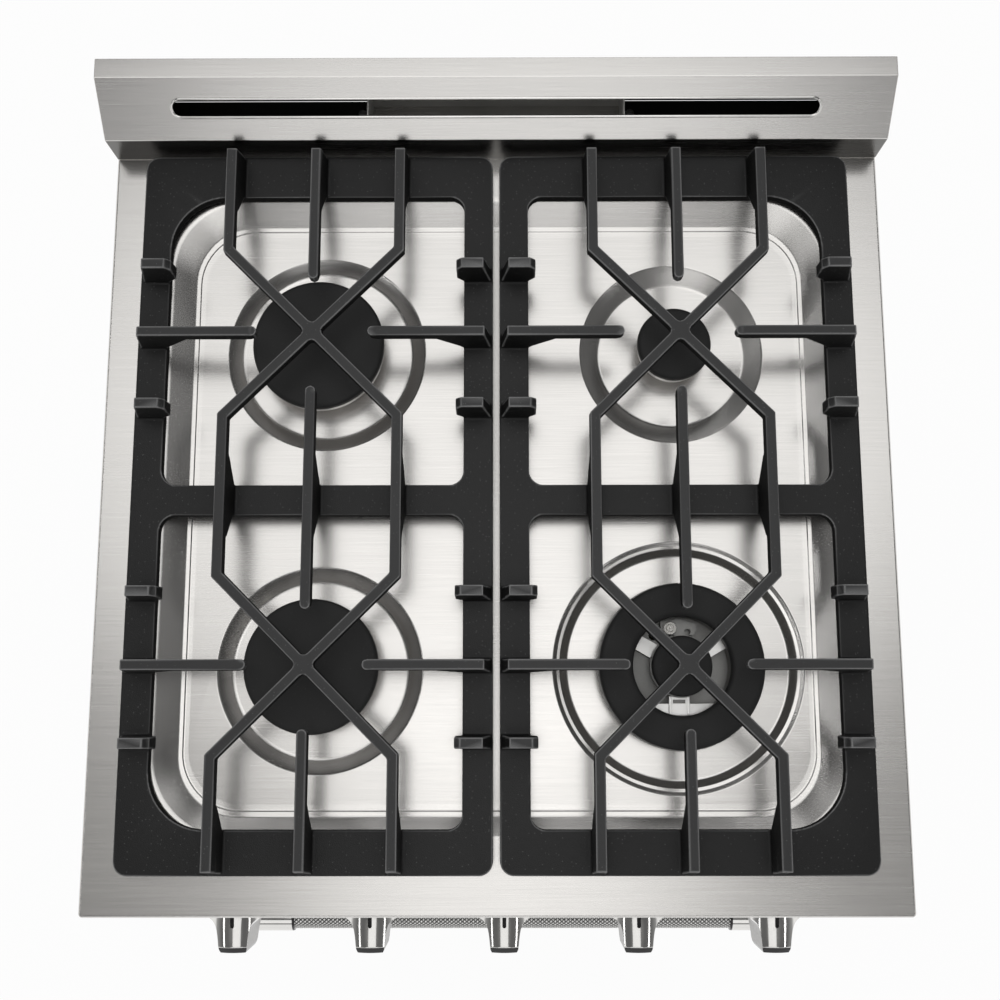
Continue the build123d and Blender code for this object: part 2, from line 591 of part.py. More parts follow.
def oven_rack(level):
    """Wire rack: a heavy border wire, two cross bars and a row of shelf wires."""
    border_r, wire_r, bar_r = 3.5, 2.2, 3.0
    x, front, back = RAIL_X - 3.0, -188.0, 178.0
    z = level + 6.3
    half = x - 18
    path = [(0, front, z), (-x, front, z), (-x, back, z), (x, back, z), (x, front, z), (0, front, z)]
    border = bent_tube(path[:3] + [(0, back, z)], border_r, 14)
    border += mirrored(border)
    rack = border
    for y in (-95.0, 85.0):
        rack += rod((-x, y, z - 1.5), (x, y, z - 1.5), bar_r)
    wires = 13
    for index in range(wires):
        wire_x = -half + 2 * half * index / (wires - 1)
        rack += rod((wire_x, front, z + 2), (wire_x, back, z + 2), wire_r)
    return rack


def oven_burners():
    """Bake burner tube under the floor and broil burner tube under the roof."""
    bake = rod((0, -190, 236), (0, OVEN_BACK, 236), 12)
    for y in (-150, 120):
        bake += block((-28, 28), (y - 8, y + 8), (BURNER_BOX_LOW + SHEET, 226))
    z = OVEN_ROOF - 22
    path = [(-90, OVEN_BACK, z), (-90, -150, z), (90, -150, z), (90, OVEN_BACK, z)]
    broil = bent_tube(path, 8, 40)
    for x in (-90, 90):
        broil += block((x - 2, x + 2), (-60, -44), (z, OVEN_ROOF))
    return group([bake, broil])


def oven_lamp():
    """Lamp glass on its collar, high on the back wall."""
    x, z = 176.0, 640.0
    lamp = turned([(0, 0), (24, 0), (24, 5), (18, 6), (18, 20), (13, 26), (0, 28)])
    return Pos(x, OVEN_BACK, z) * Rot(90, 0, 0) * lamp


def door_seal():
    """Woven rope seal on the front frame, round the oven's mouth."""
    deep = (DOOR_REAR + 0.4, FRAME_Y)
    outer = block((-OVEN_X - 14, OVEN_X + 14), deep, (OVEN_FLOOR - 12, OVEN_ROOF + 14))
    inner = block((-OVEN_X - 6, OVEN_X + 6), (deep[0] - 1, deep[1] + 1), (OVEN_FLOOR - 4, OVEN_ROOF + 6))
    return outer - inner


# ---- door --------------------------------------------------------------------------------
def hinge_window():
    """Space that the hinge brackets need in the door's lower back edge."""
    window = block((HINGE_X - 10, HINGE_X + 10), (PIVOT_Y - 11, DOOR_REAR + 5), (DOOR_LOW - 5, PIVOT_Z + 11))
    return window + mirrored(window)


def door_skin():
    """Outer door pan with folded edges and the window's opening."""
    rear = DOOR_REAR - LINER_DEPTH
    outer = block((-DOOR_X, DOOR_X), (DOOR_FACE, rear), (DOOR_LOW, DOOR_HIGH))
    uprights = outer.edges().filter_by(Axis.Z).group_by(Axis.Y)[0]
    outer = fillet(uprights, 4)
    half = DOOR_X - SHEET
    inner = block((-half, half), (DOOR_FACE + SHEET, rear + 1), (DOOR_LOW + SHEET, DOOR_HIGH - SHEET))
    inner = fillet(inner.edges().filter_by(Axis.Z).group_by(Axis.Y)[0], 2.8)
    middle = (WINDOW_LOW + WINDOW_HIGH) / 2
    plane = Plane(origin=(0, DOOR_FACE, middle), x_dir=(1, 0, 0), z_dir=(0, -1, 0))
    window = plane * RectangleRounded(2 * WINDOW_X, WINDOW_HIGH - WINDOW_LOW, 14)
    return outer - inner - extrude(window, amount=8, both=True) - hinge_window()


def door_outer_glass():
    """Dark glass held behind the skin's window."""
    lap = 14.0
    return block((-WINDOW_X - lap, WINDOW_X + lap), (DOOR_FACE + SHEET, DOOR_FACE + SHEET + 4),
                 (WINDOW_LOW - lap, WINDOW_HIGH + lap))


def door_liner():
    """Enamelled inner plate with a raised field and the inner window's opening."""
    front = DOOR_REAR - LINER_DEPTH
    plate = block((-DOOR_X + 3, DOOR_X - 3), (front, DOOR_REAR), (DOOR_LOW + 8, DOOR_HIGH - 6))
    opening = block((-WINDOW_X + 20, WINDOW_X - 20), (front - 5, DOOR_REAR + 5),
                    (WINDOW_LOW + 20, WINDOW_HIGH - 20))
    opening = fillet(opening.edges().filter_by(Axis.Y), 12)
    return plate - opening - hinge_window()


def door_inner_glass():
    """Clear glass behind the liner's opening."""
    lap = 6.0
    front = DOOR_REAR - LINER_DEPTH
    return block((-WINDOW_X + 20 - lap, WINDOW_X - 20 + lap), (front - 4, front),
                 (WINDOW_LOW + 20 - lap, WINDOW_HIGH - 20 + lap))


def hinge_bracket(side):
    """Frame-side lug with the hinge pin."""
    plate = block((HINGE_X - 7, HINGE_X + 7), (FRAME_Y - 2, FRAME_Y), (PIVOT_Z - 14, PIVOT_Z + 14))
    lug = block((HINGE_X - 3, HINGE_X + 3), (PIVOT_Y, FRAME_Y - 1), (PIVOT_Z - 6, PIVOT_Z + 6))
    eye = rod((HINGE_X - 3, PIVOT_Y, PIVOT_Z), (HINGE_X + 3, PIVOT_Y, PIVOT_Z), 6)
    pin = rod((HINGE_X - 13, PIVOT_Y, PIVOT_Z), (HINGE_X + 13, PIVOT_Y, PIVOT_Z), PIN_R)
    bracket = plate + lug + eye + pin
    return bracket if side > 0 else mirrored(bracket)


def hinge_arm(side):
    """Door-side clevis: two arms that run up inside the door, joined by a web."""
    bore = rod((HINGE_X - 20, PIVOT_Y, PIVOT_Z), (HINGE_X + 20, PIVOT_Y, PIVOT_Z), PIN_R + PIN_FIT)
    arms = None
    for offset in (-8.0, 8.0):
        x = (HINGE_X + offset - 1.5, HINGE_X + offset + 1.5)
        arm = block(x, (PIVOT_Y - 10, PIVOT_Y + 7), (PIVOT_Z - 7, PIVOT_Z + 90))
        arms = arm if arms is None else arms + arm
    web = block((HINGE_X - 9.5, HINGE_X + 9.5), (PIVOT_Y - 10, PIVOT_Y + 7), (PIVOT_Z + 60, PIVOT_Z + 90))
    clevis = arms + web - bore
    return clevis if side > 0 else mirrored(clevis)


def handle_bar():
    """Round bar with a polished sleeve at each end."""
    x = HANDLE_OFFSET
    bar = rod((x - HANDLE_HALF + 4, HANDLE_Y, HANDLE_Z), (x + HANDLE_HALF - 4, HANDLE_Y, HANDLE_Z), BAR_R)
    for side in (-1, 1):
        near, far = x + side * GRIP_HALF, x + side * HANDLE_HALF
        sleeve = rod((near, HANDLE_Y, HANDLE_Z), (far, HANDLE_Y, HANDLE_Z), SLEEVE_R)
        sleeve = chamfer(sleeve.edges().filter_by(GeomType.CIRCLE), 1.2)
        bar += sleeve
    return bar


def handle_grip():
    """Knurled sleeve between the two polished ends."""
    x = HANDLE_OFFSET
    start, end = (x - GRIP_HALF + 0.2, HANDLE_Y, HANDLE_Z), (x + GRIP_HALF - 0.2, HANDLE_Y, HANDLE_Z)
    return rod(start, end, GRIP_R) - rod((start[0] - 1, *start[1:]), (end[0] + 1, *end[1:]), BAR_R + 0.1)


def handle_post(side):
    """Round post from the door skin to the handle's sleeve."""
    x = HANDLE_OFFSET + side * POST_X
    post = rod((x, DOOR_FACE, HANDLE_Z), (x, HANDLE_Y, HANDLE_Z), 9)
    foot = rod((x, DOOR_FACE, HANDLE_Z), (x, DOOR_FACE - 4, HANDLE_Z), 13)
    seat = rod((x - 30, HANDLE_Y, HANDLE_Z), (x + 30, HANDLE_Y, HANDLE_Z), SLEEVE_R + 0.02)
    return post + foot - seat


# ---- controls ----------------------------------------------------------------------------
def control_panel():
    """Folded panel across the front, closed at the ends, with five stem holes."""
    high, back = PANEL_HIGH, FRAME_Y
    outer = block((-BODY_X, BODY_X), (PANEL_FACE, back), (PANEL_LOW, high))
    low_edge = outer.edges().filter_by(Axis.X).group_by(Axis.Z)[0].sort_by(Axis.Y)[0]
    outer = fillet(low_edge, 6)
    half = BODY_X - SHEET
    inner = block((-half, half), (PANEL_FACE + SHEET, back + 1), (PANEL_LOW + SHEET, high + 1))
    inner = fillet(inner.edges().filter_by(Axis.X).group_by(Axis.Z)[0].sort_by(Axis.Y)[0], 4.8)
    panel = outer - inner
    for index in range(5):
        x = knob_x(index)
        panel -= rod((x, PANEL_FACE - 5, KNOB_Z), (x, PANEL_FACE + 5, KNOB_Z), 7)
    return panel


def valve_stem(index):
    """Brass stem with a flat, from the valve into the knob."""
    x = knob_x(index)
    back = VALVE_FRONT + 10
    front = PANEL_FACE - KNOB_GAP - STEM_REACH
    stem = rod((x, front, KNOB_Z), (x, back, KNOB_Z), STEM_R)
    flat_end = PANEL_FACE - KNOB_GAP + KNOB_PUSH + 0.5
    flat = block((x - 10, x + 10), (front - 1, flat_end), (KNOB_Z + STEM_FLAT, KNOB_Z + 10))
    return stem - flat


def knob(index):
    """Turned and milled knob: deep round skirt that sweeps up into a tall straight grip."""
    back = PANEL_FACE - KNOB_GAP
    long = back - KNOB_FRONT
    # half of the outline seen from above, as (half width, distance ahead of the back)
    outline = [(KNOB_R + 3, -1), (KNOB_R + 3, 9.6), (23.5, 9.9), (17.5, 10.4), (14.8, 11.6), (12.9, 14.3),
               (11.9, 17.5), (11.3, 21), (10.7, 27.5), (10.2, long - 1.2), (8.8, long + 1)]
    points = [(x, back - ahead) for x, ahead in outline]
    points += [(-x, y) for x, y in reversed(points)]
    plan = make_face(Polyline(*[(x, y, -KNOB_R - 1) for x, y in points], close=True))
    bar = extrude(plan, amount=2 * KNOB_R + 2, dir=(0, 0, 1))
    lathe = [(0, 0), (KNOB_R, 0), (KNOB_R, 8.6), (KNOB_R - 1.2, 9.8), (KNOB_R - 2.4, 13),
             (KNOB_R - 3.0, long - 2.0), (KNOB_R - 4.6, long), (0, long)]
    turning = Pos(0, back, 0) * Rot(90, 0, 0) * turned(lathe)
    solid = bar & turning
    bore_end = back - STEM_REACH - KNOB_PUSH - 1.5
    bore = rod((0, back + 1, 0), (0, bore_end, 0), STEM_R + STEM_FIT)
    bore -= block((-10, 10), (bore_end - 1, back + 2), (STEM_FLAT + STEM_FIT, 10))
    mark = block((-1.6, 1.6), (KNOB_FRONT + 16, back - 7), (KNOB_R - 3.8, KNOB_R + 2))
    solid -= bore
    solid -= mark
    return Pos(knob_x(index), 0, KNOB_Z) * solid


# ---- all the pieces ----------------------------------------------------------------------
def build():
    """Every node's name with its solid."""
    parts = {
        "base_pan": base_pan(),
        "left_side_panel": side_panel(-1),
        "right_side_panel": side_panel(1),
        "back_panel": back_panel(),
        "front_frame": front_frame(),
        "kick_panel": kick_panel(),
        "legs": group(leg(x, y) for x, y in leg_places()),
        "cooktop_panel": cooktop_panel(),
        "rear_vent_guard": rear_vent_guard(),
        "flue_duct": flue_duct(),
        "control_panel": control_panel(),
        "gas_manifold": gas_manifold(),
        "gas_valves": group(gas_valve(index) for index in range(5)),
        "gas_inlet_pipe": gas_inlet_pipe(),
        "pressure_regulator": pressure_regulator(),
        "oven_walls": group([oven_side_wall(-1), oven_side_wall(1), oven_roof(), oven_back_wall(),
                              burner_box_floor()]),
        "oven_floor": oven_floor(),
        "oven_insulation": oven_insulation(),
        "rack_guides": rack_guides(),
        "oven_burners": oven_burners(),
        "oven_lamp": oven_lamp(),
        "door_seal": door_seal(),
        "hinge_brackets": group(hinge_bracket(side) for side in (-1, 1)),
        "lower_rack": oven_rack(RACK_LEVELS[0]),
        "upper_rack": oven_rack(RACK_LEVELS[2]),
        "door_skin": door_skin(),
        "door_liner": door_liner(),
        "door_outer_glass": door_outer_glass(),
        "door_inner_glass": door_inner_glass(),
        "door_hinge_arms": group(hinge_arm(side) for side in (-1, 1)),
        "handle_bar": handle_bar(),
        "handle_grip": handle_grip(),
        "handle_posts": group(handle_post(side) for side in (-1, 1)),
        "left_grate": grate(-1),
        "right_grate": grate(1),
    }
    sparks = []
    for name, (_, _, cap_r, _, _) in BURNERS.items():
        dual = name == "front_right"
        ports = 16 if cap_r < 40 else 24
        body = dual_burner_body() if dual else burner_body(cap_r, ports)
        parts[name + "_burner"] = at_burner(name, body)
        sparks.append(at_burner(name, spark_igniter(SPARK_RING_R if dual else cap_r - 3)))
        if not dual:
            parts[name + "_cap"] = at_burner(name, plain_cap(cap_r))
    parts["front_right_ring_cap"] = at_burner("front_right", ring_cap())
    parts["front_right_centre_cap"] = at_burner("front_right", plain_cap(CENTRE_CAP_R))
    parts["spark_igniters"] = group(sparks)
    for index, name in enumerate(KNOB_NAMES):
        parts[name + "_stem"] = valve_stem(index)
        parts[name + "_knob"] = knob(index)
    corners = ("front_left", "front_right", "back_left", "back_right")
    for corner, (x, y) in zip(corners, leg_places()):
        parts[corner + "_foot"] = levelling_foot(x, y)
    return parts


os.makedirs("parts", exist_ok=True)
for node, solid in build().items():
    export_step(solid, f"parts/{node}.step")
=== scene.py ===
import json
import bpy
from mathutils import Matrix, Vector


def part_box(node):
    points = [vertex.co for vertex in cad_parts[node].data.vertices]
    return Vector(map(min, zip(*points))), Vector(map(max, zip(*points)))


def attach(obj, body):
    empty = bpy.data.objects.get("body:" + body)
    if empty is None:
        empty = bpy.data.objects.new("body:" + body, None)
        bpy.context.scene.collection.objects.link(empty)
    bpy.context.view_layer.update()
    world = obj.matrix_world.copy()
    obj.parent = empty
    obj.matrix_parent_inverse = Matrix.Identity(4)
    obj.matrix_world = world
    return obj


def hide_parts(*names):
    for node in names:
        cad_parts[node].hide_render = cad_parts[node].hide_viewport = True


bl_info = {
    "name": "Gas Range Dresser",
    "version": (1, 0, 0),
    "blender": (4, 5, 0),
    "location": "View3D > Sidebar > Gas Range",
    "description": "Builds the finished surfaces of a freestanding gas range round its packed frame",
    "category": "Object",
}

from math import acos, atan2, cos, degrees, pi, radians, sin, tan

import bmesh
import bpy
from bpy.props import FloatProperty, FloatVectorProperty, IntProperty, PointerProperty
from mathutils import Matrix, Vector

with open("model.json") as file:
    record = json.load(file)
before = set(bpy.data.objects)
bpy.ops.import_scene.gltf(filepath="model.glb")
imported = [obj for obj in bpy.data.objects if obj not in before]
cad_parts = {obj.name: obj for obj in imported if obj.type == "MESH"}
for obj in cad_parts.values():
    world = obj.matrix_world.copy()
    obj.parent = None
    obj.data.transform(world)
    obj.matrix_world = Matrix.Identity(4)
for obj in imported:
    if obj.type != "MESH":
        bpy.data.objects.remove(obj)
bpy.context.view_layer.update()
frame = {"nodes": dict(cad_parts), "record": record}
MM = 0.001

# ---- places read from the frame ------------------------------------------------------
TOP_LOW, TOP_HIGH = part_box("cooktop_panel")
FRONT, RIM = TOP_LOW[1], TOP_HIGH[2]


def top(x, y, z):
    """A point x across, y behind the cooktop's front edge and z above its rim, in mm."""
    return Vector((x * MM, FRONT + y * MM, RIM + z * MM))


def middle_of(node):
    low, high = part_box(node)
    return (Vector(low) + Vector(high)) / 2


def local_mm(point):
    """The reverse of top: a frame point in mm on the cooktop."""
    return Vector((point[0] / MM, (point[1] - FRONT) / MM, (point[2] - RIM) / MM))


# ---- mesh makers ----------------------------------------------------------------------
def object_from(name, bm):
    mesh = bpy.data.meshes.new(name)
    bm.to_mesh(mesh)
    bm.free()
    piece = bpy.data.objects.new(name, mesh)
    bpy.context.scene.collection.objects.link(piece)
    return piece


def bake(piece):
    """Turns a piece with modifiers into a plain mesh."""
    graph = bpy.context.evaluated_depsgraph_get()
    old = piece.data
    piece.data = bpy.data.meshes.new_from_object(piece.evaluated_get(graph))
    piece.data.name = piece.name
    piece.modifiers.clear()
    bpy.data.meshes.remove(old)
    return piece


def discard(item):
    """Removes an object and its mesh."""
    mesh = item.data
    bpy.data.objects.remove(item)
    bpy.data.meshes.remove(mesh)


def cut(piece, tool, operation="DIFFERENCE"):
    """Applies a boolean with a tool that is used up; its materials come along."""
    boolean = piece.modifiers.new("cut", "BOOLEAN")
    boolean.operation = operation
    boolean.solver = "EXACT"
    boolean.object = tool
    boolean.material_mode = "TRANSFER"
    bake(piece)
    discard(tool)
    return piece


def join(piece, *others):
    """Adds other meshes to a piece."""
    bm = bmesh.new()
    for item in (piece, *others):
        bm.from_mesh(item.data)
    bm.to_mesh(piece.data)
    bm.free()
    for item in others:
        discard(item)
    return piece


def smooth(piece, angle=32):
    """Smooth shading that keeps edges sharper than an angle, with flats kept flat."""
    piece.data.shade_smooth()
    piece.data.set_sharp_from_angle(angle=radians(angle))
    weighted = piece.modifiers.new("normals", "WEIGHTED_NORMAL")
    weighted.keep_sharp = True
    return bake(piece)


def soften(piece, width, segments=2, angle=30):
    """Rounds a piece's sharp edges."""
    bevel = piece.modifiers.new("edges", "BEVEL")
    bevel.width = width * MM
    bevel.segments = segments
    bevel.limit_method = "ANGLE"
    bevel.angle_limit = radians(angle)
    bevel.use_clamp_overlap = True
    bake(piece)
    return smooth(piece)


def prism(name, outline, start, end, place):
    """Extrudes an outline of (a, b) pairs from start to end; place(a, b, c) gives the point."""
    bm = bmesh.new()
    low = [bm.verts.new(place(a, b, start)) for a, b in outline]
    high = [bm.verts.new(place(a, b, end)) for a, b in outline]
    bm.faces.new(low)
    bm.faces.new(reversed(high))
    ring_faces(bm, low, high)
    bmesh.ops.recalc_face_normals(bm, faces=bm.faces)
    return object_from(name, bm)


def lathe(name, outline, centre, segments=96, axis="Z"):
    """Turns a closed (radius, height) outline in mm about a line through centre."""
    bm = bmesh.new()
    rings = []
    for radius, height in outline:
        if radius < 1e-6:
            rings.append([bm.verts.new((0, 0, height * MM))])
            continue
        ring = []
        for step in range(segments):
            turn = 2 * pi * step / segments
            ring.append(bm.verts.new((radius * MM * cos(turn), radius * MM * sin(turn), height * MM)))
        rings.append(ring)
    count = len(rings)
    for i in range(count):
        a, b = rings[i], rings[(i + 1) % count]
        if len(a) == 1 and len(b) == 1:
            continue
        for step in range(segments):
            j = (step + 1) % segments
            corners = [a[step % len(a)], a[j % len(a)], b[j % len(b)], b[step % len(b)]]
            bm.faces.new(list(dict.fromkeys(corners)))
    bmesh.ops.recalc_face_normals(bm, faces=bm.faces)
    turn = {"Z": Matrix.Identity(4), "X": Matrix.Rotation(radians(90), 4, "Y"),
            "-Y": Matrix.Rotation(radians(90), 4, "X")}[axis]
    bmesh.ops.transform(bm, matrix=Matrix.Translation(centre) @ turn, verts=bm.verts)
    return object_from(name, bm)


def rounded_outline(x0, x1, y0, y1, radii, steps=10):
    """Corner points of a rounded rectangle; radii go low-left, low-right, high-right, high-left."""
    corners = ((x0, y0, 1, 1, 180), (x1, y0, -1, 1, 270), (x1, y1, -1, -1, 0), (x0, y1, 1, -1, 90))
    points = []
    for (x, y, dx, dy, start), radius in zip(corners, radii):
        centre_x, centre_y = x + dx * radius, y + dy * radius
        for step in range(steps + 1):
            turn = radians(start + 90 * step / steps)
            points.append((centre_x + radius * cos(turn), centre_y + radius * sin(turn)))
    return points


def rectangle(x0, y0, x1, y1):
    return [(x0, y0), (x1, y0), (x1, y1), (x0, y1)]


def ring_faces(bm, lower, upper):
    """Quads between two loops of as many points."""
    count = len(lower)
    for i in range(count):
        j = (i + 1) % count
        bm.faces.new((lower[i], lower[j], upper[j], upper[i]))


def stack_faces(bm, loops):
    """Joins each loop to the next."""
    for lower, upper in zip(loops, loops[1:]):
        ring_faces(bm, lower, upper)


def flat_fill(bm, loops):
    """Fills the flat area between closed loops of vertices."""
    edges = []
    for loop in loops:
        for i, vertex in enumerate(loop):
            other = loop[(i + 1) % len(loop)]
            edges.append(bm.edges.get((vertex, other)) or bm.edges.new((vertex, other)))
    bmesh.ops.triangle_fill(bm, edges=edges, use_beauty=True, use_dissolve=False)


def cad_copy(node):
    """A merged copy of a CAD node's mesh, with its flat faces whole again."""
    bm = bmesh.new()
    bm.from_mesh(frame["nodes"][node].data)
    bmesh.ops.remove_doubles(bm, verts=bm.verts, dist=2e-6)
    bmesh.ops.dissolve_limit(bm, angle_limit=radians(1.0), verts=bm.verts, edges=bm.edges)
    return object_from(node + "_dressed", bm)


# ---- shader groups --------------------------------------------------------------------
def link(tree, source, target):
    tree.links.new(source, target)


def feed(tree, node, **sources):
    """Links sources to a node's inputs by name; returns its first output, where it has one."""
    for label, source in sources.items():
        link(tree, source, node.inputs[label.replace("_", " ")])
    return node.outputs[0] if node.outputs else None


def new_group(name, inputs, outputs):
    tree = bpy.data.node_groups.new(name, "ShaderNodeTree")
    for label, kind, value in inputs:
        socket = tree.interface.new_socket(label, in_out="INPUT", socket_type=kind)
        if value is not None:
            socket.default_value = value
    for label, kind in outputs:
        tree.interface.new_socket(label, in_out="OUTPUT", socket_type=kind)
    return tree, tree.nodes.new("NodeGroupInput"), tree.nodes.new("NodeGroupOutput")


def add(tree, kind, **values):
    node = tree.nodes.new(kind)
    for name, value in values.items():
        if name in node.inputs:
            node.inputs[name].default_value = value
        else:
            setattr(node, name, value)
    return node


def math(tree, operation, first, second=None, clamp=False):
    """A maths node fed by sockets or plain numbers."""
    node = tree.nodes.new("ShaderNodeMath")
    node.operation = operation
    node.use_clamp = clamp
    for socket, value in zip(node.inputs, (first, second)):
        if isinstance(value, (int, float)):
            socket.default_value = value
        elif value is not None:
            link(tree, value, socket)
    return node.outputs[0]


def parts_of(tree, source, kind="ShaderNodeSeparateXYZ"):
    """The three parts of a vector or a colour."""
    node = tree.nodes.new(kind)
    link(tree, source, node.inputs[0])
    return node.outputs


def object_place(tree):
    """The place on the object, in metres."""
    return tree.nodes.new("ShaderNodeTexCoord").outputs["Object"]


def blend(tree, factor, first, second):
    """Mixes two colours, each a socket or three plain numbers."""
    node = add(tree, "ShaderNodeMix", data_type="RGBA")
    link(tree, factor, node.inputs["Factor"])
    for socket, colour in zip(node.inputs[6:8], (first, second)):
        if isinstance(colour, tuple):
            socket.default_value = (*colour, 1.0)
        else:
            link(tree, colour, socket)
    return node.outputs[2]


def grain_group():
    """Fine straight scratches, longer one way, with slow smudges over them."""
    tree, inside, outside = new_group(
        "Brushed grain",
        [("Vector", "NodeSocketVector", None), ("Stretch", "NodeSocketVector", (14.0, 1500.0, 1500.0)),
         ("Smudge scale", "NodeSocketFloat", 7.0)],
        [("Scratch", "NodeSocketFloat"), ("Smudge", "NodeSocketFloat")])
    place = inside.outputs["Vector"]
    stretched = add(tree, "ShaderNodeVectorMath", operation="MULTIPLY")
    link(tree, place, stretched.inputs[0])
    link(tree, inside.outputs["Stretch"], stretched.inputs[1])
    fine = add(tree, "ShaderNodeTexNoise", Scale=1.0, Detail=3.0, Roughness=0.65)
    broad = add(tree, "ShaderNodeTexNoise", Detail=4.0, Roughness=0.55)
    feed(tree, fine, Vector=stretched.outputs[0])
    feed(tree, broad, Vector=place, Scale=inside.outputs["Smudge scale"])
    feed(tree, outside, Scratch=fine.outputs["Fac"], Smudge=broad.outputs["Fac"])
    return tree


def speckle_group():
    """Small lumps with sparse pale specks, as on fired enamel over a casting."""
    tree, inside, outside = new_group(
        "Cast speckle",
        [("Vector", "NodeSocketVector", None), ("Lump scale", "NodeSocketFloat", 900.0),
         ("Speck scale", "NodeSocketFloat", 420.0), ("Speck size", "NodeSocketFloat", 0.2)],
        [("Height", "NodeSocketFloat"), ("Specks", "NodeSocketFloat"), ("Drift", "NodeSocketFloat")])
    place = inside.outputs["Vector"]
    lumps = add(tree, "ShaderNodeTexNoise", Detail=2.0, Roughness=0.6)
    dots = add(tree, "ShaderNodeTexVoronoi", feature="F1")
    slow = add(tree, "ShaderNodeTexNoise", Scale=14.0, Detail=3.0)
    feed(tree, lumps, Vector=place, Scale=inside.outputs["Lump scale"])
    feed(tree, dots, Vector=place, Scale=inside.outputs["Speck scale"])
    feed(tree, slow, Vector=place)
    near = math(tree, "SUBTRACT", inside.outputs["Speck size"], dots.outputs["Distance"])
    dot = math(tree, "MULTIPLY", near, 9.0, clamp=True)   # a steep edge round each speck
    chance = parts_of(tree, dots.outputs["Color"], "ShaderNodeSeparateColor")[0]
    rare = math(tree, "GREATER_THAN", chance, 0.55)
    feed(tree, outside, Height=lumps.outputs["Fac"], Specks=math(tree, "MULTIPLY", dot, rare),
         Drift=slow.outputs["Fac"])
    return tree


def group_node(tree, group, **values):
    """Places a group, read at the object's own place."""
    node = tree.nodes.new("ShaderNodeGroup")
    node.node_tree = group
    for name, value in values.items():
        node.inputs[name.replace("_", " ")].default_value = value
    link(tree, object_place(tree), node.inputs["Vector"])
    return node


def ramp(tree, source, stops):
    """A colour ramp from (place, colour) pairs."""
    node = tree.nodes.new("ShaderNodeValToRGB")
    elements = node.color_ramp.elements
    while len(elements) < len(stops):
        elements.new(0.5)
    for element, (place, colour) in zip(elements, stops):
        element.position = place
        element.color = (*colour, 1.0)
    link(tree, source, node.inputs[0])
    return node.outputs[0]


def span(tree, source, low=0.0, high=1.0, start=0.0, end=1.0):
    """Maps start..end to low..high."""
    node = add(tree, "ShaderNodeMapRange")
    for label, value in (("From Min", start), ("From Max", end), ("To Min", low), ("To Max", high)):
        node.inputs[label].default_value = value
    return feed(tree, node, Value=source)


def bump(tree, height, strength, distance):
    """A normal from a height, with its depth in metres."""
    return feed(tree, add(tree, "ShaderNodeBump", Strength=strength, Distance=distance), Height=height)


def blank(name, **values):
    """A new material with plain values on its Principled BSDF."""
    material = bpy.data.materials.new(name)
    material.use_nodes = True
    shader = material.node_tree.nodes["Principled BSDF"]
    for label, value in values.items():
        label = label.replace("_", " ")
        shader.inputs[label].default_value = (*value, 1.0) if label == "Base Color" else value
    return material, material.node_tree, shader


# ---- materials ------------------------------------------------------------------------
MATERIALS = {}


def scaled(colour, factor):
    return tuple(min(1.0, factor * part) for part in colour)


def brushed_steel(name, stretch, dark, pale, rough=(0.2, 0.32)):
    """Sheet steel with a straight grain: each scratch has its shade, its gloss and its depth."""
    material, tree, shader = blank(name, Metallic=1.0)
    grain = group_node(tree, MATERIALS["grain"], Stretch=stretch)
    scratch, smudge = grain.outputs["Scratch"], grain.outputs["Smudge"]
    both = math(tree, "ADD", math(tree, "MULTIPLY", scratch, 0.5), math(tree, "MULTIPLY", smudge, 0.5))
    feed(tree, shader, Base_Color=ramp(tree, scratch, [(0.25, dark), (0.75, pale)]),
         Roughness=span(tree, both, *rough), Normal=bump(tree, scratch, 0.35, 0.00002))
    return material


def polished(name, colour, rough=(0.05, 0.14)):
    """Bright metal with faint smears."""
    material, tree, shader = blank(name, Metallic=1.0)
    grain = group_node(tree, MATERIALS["grain"], Stretch=(300.0, 300.0, 300.0), Smudge_scale=40.0)
    smear = grain.outputs["Smudge"]
    feed(tree, shader, Base_Color=ramp(tree, smear, [(0.3, colour), (0.7, scaled(colour, 1.06))]),
         Roughness=span(tree, smear, *rough), Normal=bump(tree, grain.outputs["Scratch"], 0.06, 0.00002))
    return material


def enamel(name, dark, speck, rough, lump=900.0, size=0.2, height=0.00025, level=0.4):
    """Fired enamel with pale specks and slow drifts of shade."""
    material, tree, shader = blank(name, Specular_IOR_Level=level)
    cast = group_node(tree, MATERIALS["speckle"], Lump_scale=lump, Speck_size=size).outputs
    shade = ramp(tree, cast["Drift"], [(0.3, dark), (0.7, scaled(dark, 1.5))])
    feed(tree, shader, Base_Color=blend(tree, cast["Specks"], shade, speck),
         Roughness=span(tree, cast["Drift"], *rough), Normal=bump(tree, cast["Height"], 0.35, height))
    return material


TONE_FROM, TONE_TO = 0.018, 0.043    # heights above the rim over which the enamel goes from darker to paler, in m
EDGE_FROM, EDGE_TO = 0.512, 0.55     # pointiness of a flat face and of a crisp edge


